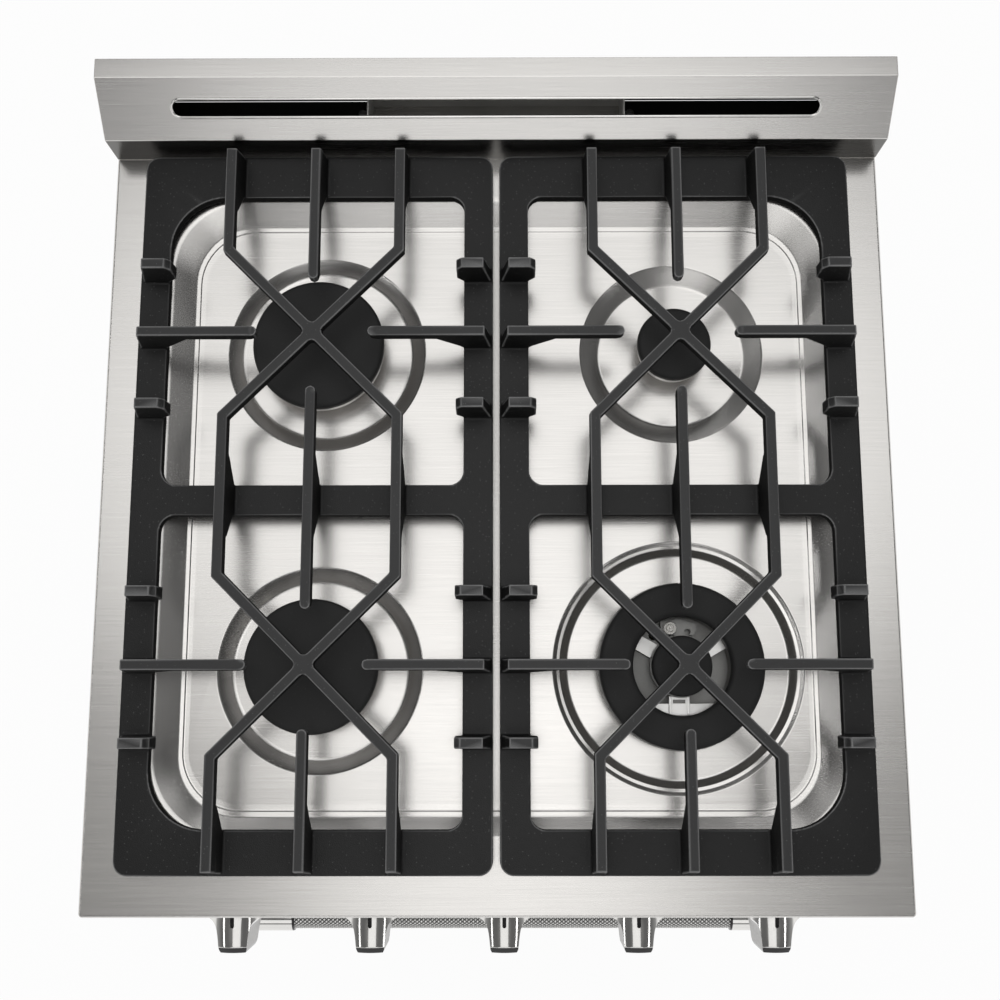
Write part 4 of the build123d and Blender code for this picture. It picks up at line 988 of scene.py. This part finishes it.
def build_caps():
    """Five enamelled caps, turned."""
    outer, bore, low = RING_OUTER, RING_BORE, CAP_LOW
    ring = [(bore + 0.9, low), (outer - 0.9, low), (outer - 0.2, low + 0.5), (outer, low + 1.4), (outer, 7.8),
            (outer - 0.3, 9.0), (outer - 1.1, 10.2), (outer - 2.6, 11.0), (outer - 5, RING_HIGH),
            (bore + 5, RING_HIGH), (bore + 2.6, 11.0), (bore + 1.1, 10.2), (bore + 0.3, 9.0), (bore, 7.8),
            (bore, low + 1.4), (bore + 0.2, low + 0.5)]
    caps = []
    for name in ("front_left_cap", "back_left_cap", "back_right_cap"):
        low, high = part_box(name)
        caps.append((name, name, cap_outline((high[0] - low[0]) / 2 / MM), 128))
    caps.append(("front_right_centre_cap", "front_right_centre_cap", cap_outline(CAP_BORE_R), 96))
    caps.append(("front_right_ring_cap", "front_right_centre_cap", ring, 144))
    for name, over, outline, segments in caps:
        place = middle_of(over)
        place.z = RIM
        piece = lathe(name + "_turned", outline, place, segments)
        smooth(piece, 45)
        finish_piece(piece, "cap", name, "cap_enamel", name)


# ---- handle and knobs ----------------------------------------------------------------------
def knurl_tree():
    """Rolls a fine grid into a sleeve with diamond knurling."""
    tree = bpy.data.node_groups.new("Knurled sleeve", "GeometryNodeTree")
    tree.interface.new_socket("Geometry", in_out="INPUT", socket_type="NodeSocketGeometry")
    for kind, labels in (("Float", ("Length", "Radius", "Pitch", "Depth")), ("Int", ("Rows along", "Rows round")),
                         ("Material", ("Material",))):
        for label in labels:
            tree.interface.new_socket(label, in_out="INPUT", socket_type="NodeSocket" + kind)
    tree.interface.new_socket("Geometry", in_out="OUTPUT", socket_type="NodeSocketGeometry")
    inside, outside = tree.nodes.new("NodeGroupInput"), tree.nodes.new("NodeGroupOutput")
    value = inside.outputs
    around = math(tree, "MULTIPLY", value["Radius"], 2 * pi)
    grid = tree.nodes.new("GeometryNodeMeshGrid")
    feed(tree, grid, Size_X=value["Length"], Size_Y=around, Vertices_X=value["Rows along"],
         Vertices_Y=value["Rows round"])
    u, v = parts_of(tree, tree.nodes.new("GeometryNodeInputPosition").outputs[0])[:2]
    half_pitch = math(tree, "MULTIPLY", value["Pitch"], 0.5)
    heights = [math(tree, "PINGPONG", math(tree, operation, u, v), half_pitch) for operation in ("ADD", "SUBTRACT")]
    share = math(tree, "DIVIDE", math(tree, "MINIMUM", *heights), half_pitch)
    capped = math(tree, "MINIMUM", math(tree, "MULTIPLY", share, 1.12), 1.0)    # crests with small flats
    keep = add(tree, "GeometryNodeStoreNamedAttribute", data_type="FLOAT", domain="POINT", Name="groove")
    feed(tree, keep, Geometry=grid.outputs[0], Value=capped)
    sunk = math(tree, "MULTIPLY", value["Depth"], math(tree, "SUBTRACT", 1.0, capped))
    radius = math(tree, "SUBTRACT", value["Radius"], sunk)
    turn = math(tree, "DIVIDE", v, value["Radius"])
    place = feed(tree, tree.nodes.new("ShaderNodeCombineXYZ"), X=u,
                 Y=math(tree, "MULTIPLY", radius, math(tree, "SINE", turn)),
                 Z=math(tree, "MULTIPLY", radius, math(tree, "COSINE", turn)))
    rolled = feed(tree, tree.nodes.new("GeometryNodeSetPosition"), Geometry=keep.outputs[0], Position=place)
    merged = feed(tree, add(tree, "GeometryNodeMergeByDistance", Distance=1e-5), Geometry=rolled)
    real = feed(tree, tree.nodes.new("GeometryNodeRealizeInstances"), Geometry=merged)
    painted = feed(tree, tree.nodes.new("GeometryNodeSetMaterial"), Geometry=real, Material=value["Material"])
    feed(tree, outside, Geometry=painted)
    return tree


def with_nodes(name, tree, values):
    """A piece made by a Geometry Nodes tree, as a plain mesh."""
    mesh = bpy.data.meshes.new(name)
    piece = bpy.data.objects.new(name, mesh)
    bpy.context.scene.collection.objects.link(piece)
    modifier = piece.modifiers.new("nodes", "NODES")
    modifier.node_group = tree
    sockets = {item.name: item.identifier for item in tree.interface.items_tree
               if item.item_type == "SOCKET" and item.in_out == "INPUT"}
    for label, value in values.items():
        modifier[sockets[label]] = value
    return bake(piece)


TIP, FLANK = 1, 2       # places of the tinted finish and of the painted shade on milled flanks, on a handle's or a knob's mesh
BAR_R = 10.8
SLEEVE_ROOM = 0.05      # keeps the sleeves inside the bar's own outline
CHAMFER = 1.65          # width of the sleeves' tinted inner ends


def build_handle(knurl):
    """Knurled grip and the polished bar with its end sleeves."""
    low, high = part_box("handle_grip")
    centre, length, radius = middle_of("handle_grip"), high[0] - low[0], (high[2] - low[2]) / 2
    rows = round(length / (knurl.pitch / 5)) + 1
    grip = with_nodes("knurled_grip", knurl_tree(), {
        "Length": length, "Radius": radius, "Pitch": 2 * pi * radius / round(2 * pi * radius / knurl.pitch),
        "Depth": knurl.depth, "Rows along": rows, "Rows round": knurl.around + 1, "Material": MATERIALS["knurl"]})
    bm = bmesh.new()
    bm.from_mesh(grip.data)
    bmesh.ops.holes_fill(bm, edges=bm.edges, sides=0)
    bmesh.ops.recalc_face_normals(bm, faces=bm.faces)
    bmesh.ops.translate(bm, vec=centre, verts=bm.verts)
    bm.to_mesh(grip.data)
    bm.free()
    smooth(grip, 50)
    finish_piece(grip, "knurl", "door", "knurled_steel", "handle_grip")
    low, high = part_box("handle_bar")
    sleeve_r = (high[2] - low[2]) / 2 / MM - SLEEVE_ROOM
    half = (high[0] - low[0]) / 2 / MM
    grip_half = length / 2 / MM + 0.2
    outline = [(0, -half), (sleeve_r - 2.5, -half), (sleeve_r - 0.8, -half + 0.7), (sleeve_r, -half + 2.4),
               (sleeve_r, -grip_half - 1.7), (sleeve_r, -grip_half - 1.6), (sleeve_r - 0.3, -grip_half - 0.3),
               (sleeve_r - 1.0, -grip_half), (BAR_R, -grip_half)]
    outline += [(r, -h) for r, h in reversed(outline)]
    bar = lathe("polished_bar", outline, centre, 96, "X")
    smooth(bar, 50)
    finish_piece(bar, "polished", "door", "polished_steel", "handle_bar")
    bar.data.materials.append(MATERIALS["tip"])
    for face in bar.data.polygons:
        if abs(face.center.x - centre.x) < (grip_half + CHAMFER) * MM:
            face.material_index = TIP


MARK_HALF, MARK_NEAR, MARK_FAR = 1.5, 1.4, 11.4     # the pointer's groove
GROOVE_DEPTH, INLAY_DEPTH = 3.8, 3.0                # below the skirt's radius
TIP_LENGTH, SKIRT_LENGTH = 4.4, 11                  # the tinted bevel at the nose, and the plain foot
KNOBS = ("back_left", "front_left", "oven", "front_right", "back_right")


def build_knobs():
    """Five knobs from one lathe turning and one milled plan, with a black inlaid mark."""
    for name in KNOBS:
        node = name + "_knob"
        low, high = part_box(node)
        centre = middle_of(node)
        axis = Vector((centre.x, high[1], centre.z))
        full = (high[0] - low[0]) / 2 / MM
        length = (high[1] - low[1]) / MM
        side = [(0, 0), (full - 0.8, 0), (full, 0.8), (full, 4.6), (full - 0.2, 5.6), (full - 0.45, 7.0),
                (full - 0.8, 10.0), (full - 1.3, 15.0), (full - 1.9, 21.0), (full - 2.45, length - 5.0),
                (full - 2.75, length - 4.2), (full - 5.6, length - 0.5), (full - 6.2, length), (0, length)]
        turned = lathe(name + "_knob_milled", side, axis, 128, "-Y")
        plan = [(full + 3, -1), (full + 3, 5.2), (24.5, 5.3), (21.5, 5.7), (18.6, 6.6), (16.3, 7.9), (14.7, 9.5),
                (13.4, 11.6), (12.4, 14.5), (11.7, 18.2), (11.2, 22.2), (10.85, 26.0), (10.5, length - 2.4),
                (10.4, length - 2.0), (9.0, length + 1)]
        outline = plan + [(-x, y) for x, y in reversed(plan)]
        place = lambda x, depth, z: axis + Vector((x * MM, -depth * MM, z * MM))
        milled = prism("plan", outline, -full - 3, full + 3, place)
        cut(turned, milled, "INTERSECT")
        arc = [(MARK_HALF * cos(radians(t)), MARK_FAR + MARK_HALF * sin(radians(t))) for t in range(180, -1, -20)]
        mark = [(-MARK_HALF, MARK_NEAR), *arc, (MARK_HALF, MARK_NEAR)]
        cut(turned, prism("groove", mark, full - GROOVE_DEPTH, full + 3, place))
        soften(turned, 0.3, 2, 28)
        finish_piece(turned, "polished", node, "polished_steel", node)
        turned.data.materials.append(MATERIALS["tip"])
        turned.data.materials.append(MATERIALS["flank"])
        # the nose bevel takes the tinted finish, and sideways faces of the milled flanks take painted shade
        for face in turned.data.polygons:
            depth = (axis.y - face.center.y) / MM
            if depth > length - TIP_LENGTH and -0.9 < face.normal.y < -0.3:
                face.material_index = TIP
            elif abs(face.normal.x) > 0.6 and depth > SKIRT_LENGTH:
                face.material_index = FLANK
        inlay = prism(name + "_knob_mark", [(0.97 * x, y) for x, y in mark], full - INLAY_DEPTH - 1.0,
                      full - INLAY_DEPTH, place)
        smooth(inlay)
        finish_piece(inlay, "mark", node, "cap_enamel")


# ---- the rest of the body ---------------------------------------------------------------------
CROWNS = ("front_left_burner", "back_left_burner", "back_right_burner")
DRESS = {  # node: (material, slot, edge rounding in mm)
    "left_side_panel": ("steel_side", "stainless", 0.6), "right_side_panel": ("steel_side", "stainless", 0.6),
    "front_frame": ("steel", "stainless", 0.3), "kick_panel": ("steel", "stainless", 0.5),
    "control_panel": ("steel", "stainless", 0.5), "door_skin": ("steel", "stainless", 0.5),
    "legs": ("steel_side", "stainless", 0.5), "base_pan": ("galvanised", "galvanised_steel", 0.3),
    "back_panel": ("galvanised", "galvanised_steel", 0.3), "flue_duct": ("duct", "galvanised_steel", 0.3),
    "hinge_brackets": ("galvanised", "galvanised_steel", 0.3),
    "door_hinge_arms": ("galvanised", "galvanised_steel", 0.3), "handle_posts": ("polished", "polished_steel", 0.4),
    **{crown: ("aluminium", "burner_aluminium", 0.3) for crown in CROWNS},
    "spark_igniters": ("ceramic", "white_ceramic", 0.2), "oven_walls": ("oven", "oven_enamel", 0.3),
    "oven_floor": ("oven", "oven_enamel", 0.3), "door_liner": ("oven", "oven_enamel", 0.5),
    "oven_insulation": ("wool", "mineral_wool", 1.0), "door_seal": ("seal", "woven_seal", 0.8),
    "door_outer_glass": ("dark_glass", "window_glass", 0.4), "door_inner_glass": ("clear_glass", "clear_glass", 0.4),
    "oven_lamp": ("clear_glass", "clear_glass", 0.4), "lower_rack": ("chrome", "chrome_wire", 0),
    "upper_rack": ("chrome", "chrome_wire", 0), "rack_guides": ("chrome", "chrome_wire", 0),
    "gas_valves": ("brass", "brass", 0.3), "gas_manifold": ("pipe", "gas_pipe", 0),
    "gas_inlet_pipe": ("pipe", "gas_pipe", 0), "pressure_regulator": ("zinc", "zinc_casting", 0.4),
    "oven_burners": ("black", "black_enamel", 0.3),
    **{corner + "_foot": ("polished", "polished_steel", 0.3)
       for corner in ("front_left", "front_right", "back_left", "back_right")},
    **{knob + "_stem": ("brass", "brass", 0.2) for knob in KNOBS},
}
UNDER_CAP = 0.0012        # how far a crown stays back from its cap's edge, in m
OWN_IGNITER = 0.05        # round the double burner, whose igniter is made apart, in m


def tuck_crown(piece, node):
    """Keeps a burner's crown just under the edge of its cap."""
    cap = node.replace("burner", "cap")
    low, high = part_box(cap)
    middle, most = middle_of(cap), (high[0] - low[0]) / 2 - UNDER_CAP
    for vertex in piece.data.vertices:
        out = Vector((vertex.co.x - middle.x, vertex.co.y - middle.y))
        if out.length > most:
            out = out.normalized() * most
            vertex.co.x, vertex.co.y = middle.x + out.x, middle.y + out.y


def drop_near(piece, middle, reach):
    """Deletes what stands within reach of an upright line."""
    bm = bmesh.new()
    bm.from_mesh(piece.data)
    near = [v for v in bm.verts if Vector((v.co.x - middle.x, v.co.y - middle.y)).length < reach]
    bmesh.ops.delete(bm, geom=near, context="VERTS")
    bm.to_mesh(piece.data)
    bm.free()


SHELF_LOW, SHELF_HIGH, BRACKET_HIGH, RIB_HIGH = -5.0, -3.4, -2.2, -1.0    # heights from the rim, in mm
SHELF_R, SHELF_CHORD = 36.9, 27.4
REAR_PLATE = ((-13.1, 23.6), (11.2, 23.6), (14.6, 31.6), (0.5, 35.6), (-14.0, 33.6))
IGNITER = ((0, -14), (5.0, -14), (5.0, -3.2), (4.4, -2.4), (3.9, -2.4), (3.6, -3.4), (3.1, -3.4), (2.8, -1.6),
           (2.3, -0.8), (1.9, -0.8), (1.6, -1.8), (1.2, -1.8), (0.9, 0.6), (0, 1.0))


def build_dual_burner():
    """Pale arms, front bracket, rear plate and igniter inside the double burner's ring."""
    middle = middle_of("front_right_centre_cap")
    middle.z = RIM
    place = lambda x, y, z: middle + Vector((x * MM, y * MM, z * MM))
    body = cad_copy("front_right_burner")
    soften(body, 0.3, 2)
    finish_piece(body, "cast_dark", "range", "burner_aluminium", "front_right_burner")
    pieces = []
    for angle in (30, 150):
        turn = Matrix.Rotation(radians(angle), 2)
        corners = [tuple(turn @ Vector(corner)) for corner in rectangle(22.6, -5.6, 36.8, 5.6)]
        pieces.append(prism("arm", corners, SHELF_LOW, SHELF_HIGH, place))
    half = degrees(acos(SHELF_CHORD / SHELF_R))
    turns = [radians(half * (step / 12 * 2 - 1)) for step in range(13)]
    arc = [(SHELF_R * sin(turn), -SHELF_R * cos(turn)) for turn in turns]
    pieces.append(prism("front_shelf", arc, SHELF_LOW, SHELF_HIGH, place))
    bracket = prism("front_bracket", rectangle(-9.2, -36.0, 6.2, -21.9), SHELF_HIGH, BRACKET_HIGH, place)
    cut(bracket, prism("slit", rectangle(-6.0, -27.2, 3.0, -24.6), -6, 0, place))
    pieces.append(bracket)
    for x in (-9.2, 4.2):
        outline = rectangle(x, -35.6, x + 2.0, -22.1)
        pieces.append(prism("bracket_rib", outline, BRACKET_HIGH, RIB_HIGH, place))
    arms = join(*pieces)
    arms.name = "dual_burner_arms"
    soften(arms, 0.25, 2)
    finish_piece(arms, "cast_pale", "range", "burner_aluminium")
    plate = prism("dual_burner_plate", REAR_PLATE, -9, -6.2, place)
    cut(plate, lathe("hole", [(0, -12), (2.5, -12), (2.5, 0), (0, 0)], place(6.4, 26.0, 0), 40))
    soften(plate, 0.4, 2)
    finish_piece(plate, "cast_dark", "range", "burner_aluminium")
    igniter = lathe("dual_burner_igniter", IGNITER, place(-6.9, 28.6, 0), 48)
    smooth(igniter, 40)
    finish_piece(igniter, "ceramic", "range", "white_ceramic")


def build_body():
    """Every other CAD piece, with its edges rounded and its finish put on."""
    owner = {node: body for body, nodes in frame["record"]["behaviour"]["bodies"].items() for node in nodes}
    build_dual_burner()
    for node, (material, slot, edge) in DRESS.items():
        piece = cad_copy(node)
        if node in CROWNS:
            tuck_crown(piece, node)
        if node == "spark_igniters":
            drop_near(piece, middle_of("front_right_centre_cap"), OWN_IGNITER)
        if edge:
            soften(piece, edge, 2)
        else:
            smooth(piece, 50)
        finish_piece(piece, material, owner[node], slot, node)


# ---- stage --------------------------------------------------------------------------------------
CAMERA = {"place": (0.0065, -0.1522, 1.8539), "turn": (9.67, 0.24, -0.06), "lens": 44.95}
FLOOR_GLOW = 0.93     # how much of the floor's own white the camera sees over its shading
BROAD = 2.0           # lamps wider than this both ways are round, in m
LAMPS = (  # name, place, aimed at, size, power
    ("overhead softbox", (0.0, 0.85, 3.5), (0.0, 0.85, 0.0), (3.0, 2.3), 17.4),
    ("near softbox", (0.0, -0.68, 3.45), (0.0, -0.68, 0.0), (1.1, 1.1), 3.6),
    ("knob card", (0.0, -1.42, 3.2), (0.0, -0.4, 0.9), (1.2, 0.5), 1.6),
    ("front softbox", (0.0, -3.0, 3.1), (0.0, 0.2, 1.0), (2.3, 1.5), 10.0),
    ("rear softbox", (0.0, 3.0, 2.7), (0.0, 0.0, 0.9), (2.0, 1.2), 5.0),
    ("left strip", (-2.0, -0.4, 2.9), (0.0, -0.4, 0.9), (3.0, 0.14), 5.0),
    ("right strip", (2.0, -1.4, 2.9), (0.0, -1.4, 0.9), (1.2, 0.14), 2.6),
)


def area_light(name, place, aim, size, power):
    """A soft lamp turned to a point; the broad ones are round."""
    data = bpy.data.lights.new(name, "AREA")
    data.shape = "ELLIPSE" if min(size) > BROAD else "RECTANGLE"
    data.size, data.size_y = size
    data.energy = power
    lamp = bpy.data.objects.new(name, data)
    lamp.location = place
    lamp.rotation_euler = (Vector(aim) - Vector(place)).to_track_quat("-Z", "Y").to_euler()
    bpy.context.scene.collection.objects.link(lamp)


def backdrop_rays(tree):
    """One for rays that should see the plain backdrop: straight, through glass or off gloss."""
    rays = tree.nodes.new("ShaderNodeLightPath").outputs
    seen = math(tree, "MAXIMUM", rays["Is Camera Ray"], rays["Is Transmission Ray"])
    return math(tree, "MAXIMUM", seen, rays["Is Glossy Ray"])


def mix_shaders(tree, factor, first, second, target):
    mix = tree.nodes.new("ShaderNodeMixShader")
    for source, socket in zip((factor, first.outputs[0], second.outputs[0]), mix.inputs):
        link(tree, source, socket)
    link(tree, mix.outputs[0], target)


def build_floor(look):
    bm = bmesh.new()
    bmesh.ops.create_grid(bm, x_segments=1, y_segments=1, size=9.0)
    floor = object_from("floor", bm)
    material, tree, shader = blank("floor paint", Base_Color=tuple(look.floor), Roughness=0.6)
    glow = add(tree, "ShaderNodeEmission")
    share = math(tree, "MULTIPLY", backdrop_rays(tree), FLOOR_GLOW)
    mix_shaders(tree, share, shader, glow, tree.nodes["Material Output"].inputs["Surface"])
    floor.data.materials.append(material)


def build_world():
    """A studio room: pale round the horizon and the ceiling, dim between them."""
    world = bpy.data.worlds.new("studio")
    bpy.context.scene.world = world
    world.use_nodes = True
    tree = world.node_tree
    tree.nodes.clear()
    output = tree.nodes.new("ShaderNodeOutputWorld")
    height = parts_of(tree, tree.nodes.new("ShaderNodeTexCoord").outputs["Generated"])[2]
    room = ramp(tree, height, [(0.0, (1, 1, 1)), (0.24, (1, 1, 1)), (0.36, (0.34, 0.34, 0.34)),
                               (0.62, (0.13, 0.13, 0.13)), (0.84, (0.14, 0.14, 0.14)),
                               (0.94, (0.26, 0.26, 0.255)), (1.0, (0.45, 0.445, 0.44))])
    soft = add(tree, "ShaderNodeBackground", Color=(1, 1, 1, 1), Strength=0.6)
    shown = add(tree, "ShaderNodeBackground", Strength=1.0)
    feed(tree, shown, Color=room)
    mix_shaders(tree, backdrop_rays(tree), soft, shown, output.inputs[0])


def build_camera():
    scene = bpy.context.scene
    data = bpy.data.cameras.new("camera")
    data.sensor_width = 36
    data.lens = CAMERA["lens"]
    camera = bpy.data.objects.new("camera", data)
    camera.location = CAMERA["place"]
    camera.rotation_euler = [radians(turn) for turn in CAMERA["turn"]]
    scene.collection.objects.link(camera)
    scene.camera = camera
    scene.view_settings.view_transform = "Standard"


def build_stage(look):
    build_floor(look)
    build_world()
    for lamp in LAMPS:
        area_light(*lamp)
    build_camera()


# ---- operators -----------------------------------------------------------------------------------
class GASRANGE_OT_materials(bpy.types.Operator):
    """Make every finish of the range"""
    bl_idname = "gasrange.materials"
    bl_label = "Make finishes"

    def execute(self, context):
        make_materials(context.scene.range_look)
        return {"FINISHED"}


class GASRANGE_OT_cooktop(bpy.types.Operator):
    """Make the pressed cooktop and the vent guard"""
    bl_idname = "gasrange.cooktop"
    bl_label = "Cooktop and guard"

    def execute(self, context):
        build_cooktop()
        build_guard()
        return {"FINISHED"}


class GASRANGE_OT_grates(bpy.types.Operator):
    """Make both cast grates"""
    bl_idname = "gasrange.grates"
    bl_label = "Grates"

    def execute(self, context):
        build_grates(context.scene.range_grates)
        return {"FINISHED"}


class GASRANGE_OT_caps(bpy.types.Operator):
    """Make the burner caps"""
    bl_idname = "gasrange.caps"
    bl_label = "Burner caps"

    def execute(self, context):
        build_caps()
        return {"FINISHED"}


class GASRANGE_OT_controls(bpy.types.Operator):
    """Make the door handle and the knobs"""
    bl_idname = "gasrange.controls"
    bl_label = "Handle and knobs"

    def execute(self, context):
        build_handle(context.scene.range_knurl)
        build_knobs()
        return {"FINISHED"}


class GASRANGE_OT_body(bpy.types.Operator):
    """Dress every other piece of the body, the door and the oven"""
    bl_idname = "gasrange.body"
    bl_label = "Body, door and oven"

    def execute(self, context):
        build_body()
        return {"FINISHED"}


class GASRANGE_OT_stage(bpy.types.Operator):
    """Set up the floor, the lights and the camera"""
    bl_idname = "gasrange.stage"
    bl_label = "Stage"

    def execute(self, context):
        build_stage(context.scene.range_look)
        return {"FINISHED"}


STEPS = (GASRANGE_OT_materials, GASRANGE_OT_cooktop, GASRANGE_OT_grates, GASRANGE_OT_caps, GASRANGE_OT_controls,
         GASRANGE_OT_body, GASRANGE_OT_stage)


class GASRANGE_PT_panel(bpy.types.Panel):
    """Lists the steps that dress the range"""
    bl_label = "Gas Range"
    bl_idname = "GASRANGE_PT_panel"
    bl_space_type = "VIEW_3D"
    bl_region_type = "UI"
    bl_category = "Gas Range"

    def draw(self, context):
        scene = context.scene
        for step in STEPS:
            self.layout.operator(step.bl_idname)
        for group, names in ((scene.range_look, ("steel", "iron", "floor")),
                             (scene.range_grates, ("top_width", "foot_width", "voxel")),
                             (scene.range_knurl, ("pitch", "depth", "around"))):
            for name in names:
                self.layout.prop(group, name)


GROUPS = {"range_look": RangeLook, "range_grates": GrateSizes, "range_knurl": KnurlSizes}


def register():
    for kind in (*GROUPS.values(), *STEPS, GASRANGE_PT_panel):
        bpy.utils.register_class(kind)
    for name, kind in GROUPS.items():
        setattr(bpy.types.Scene, name, PointerProperty(type=kind))


def unregister():
    for name in GROUPS:
        delattr(bpy.types.Scene, name)
    for kind in reversed((*GROUPS.values(), *STEPS, GASRANGE_PT_panel)):
        bpy.utils.unregister_class(kind)


def main():
    register()
    for step in STEPS:
        getattr(bpy.ops.gasrange, step.bl_idname.split(".")[1])()


if __name__ == "__main__":
    main()
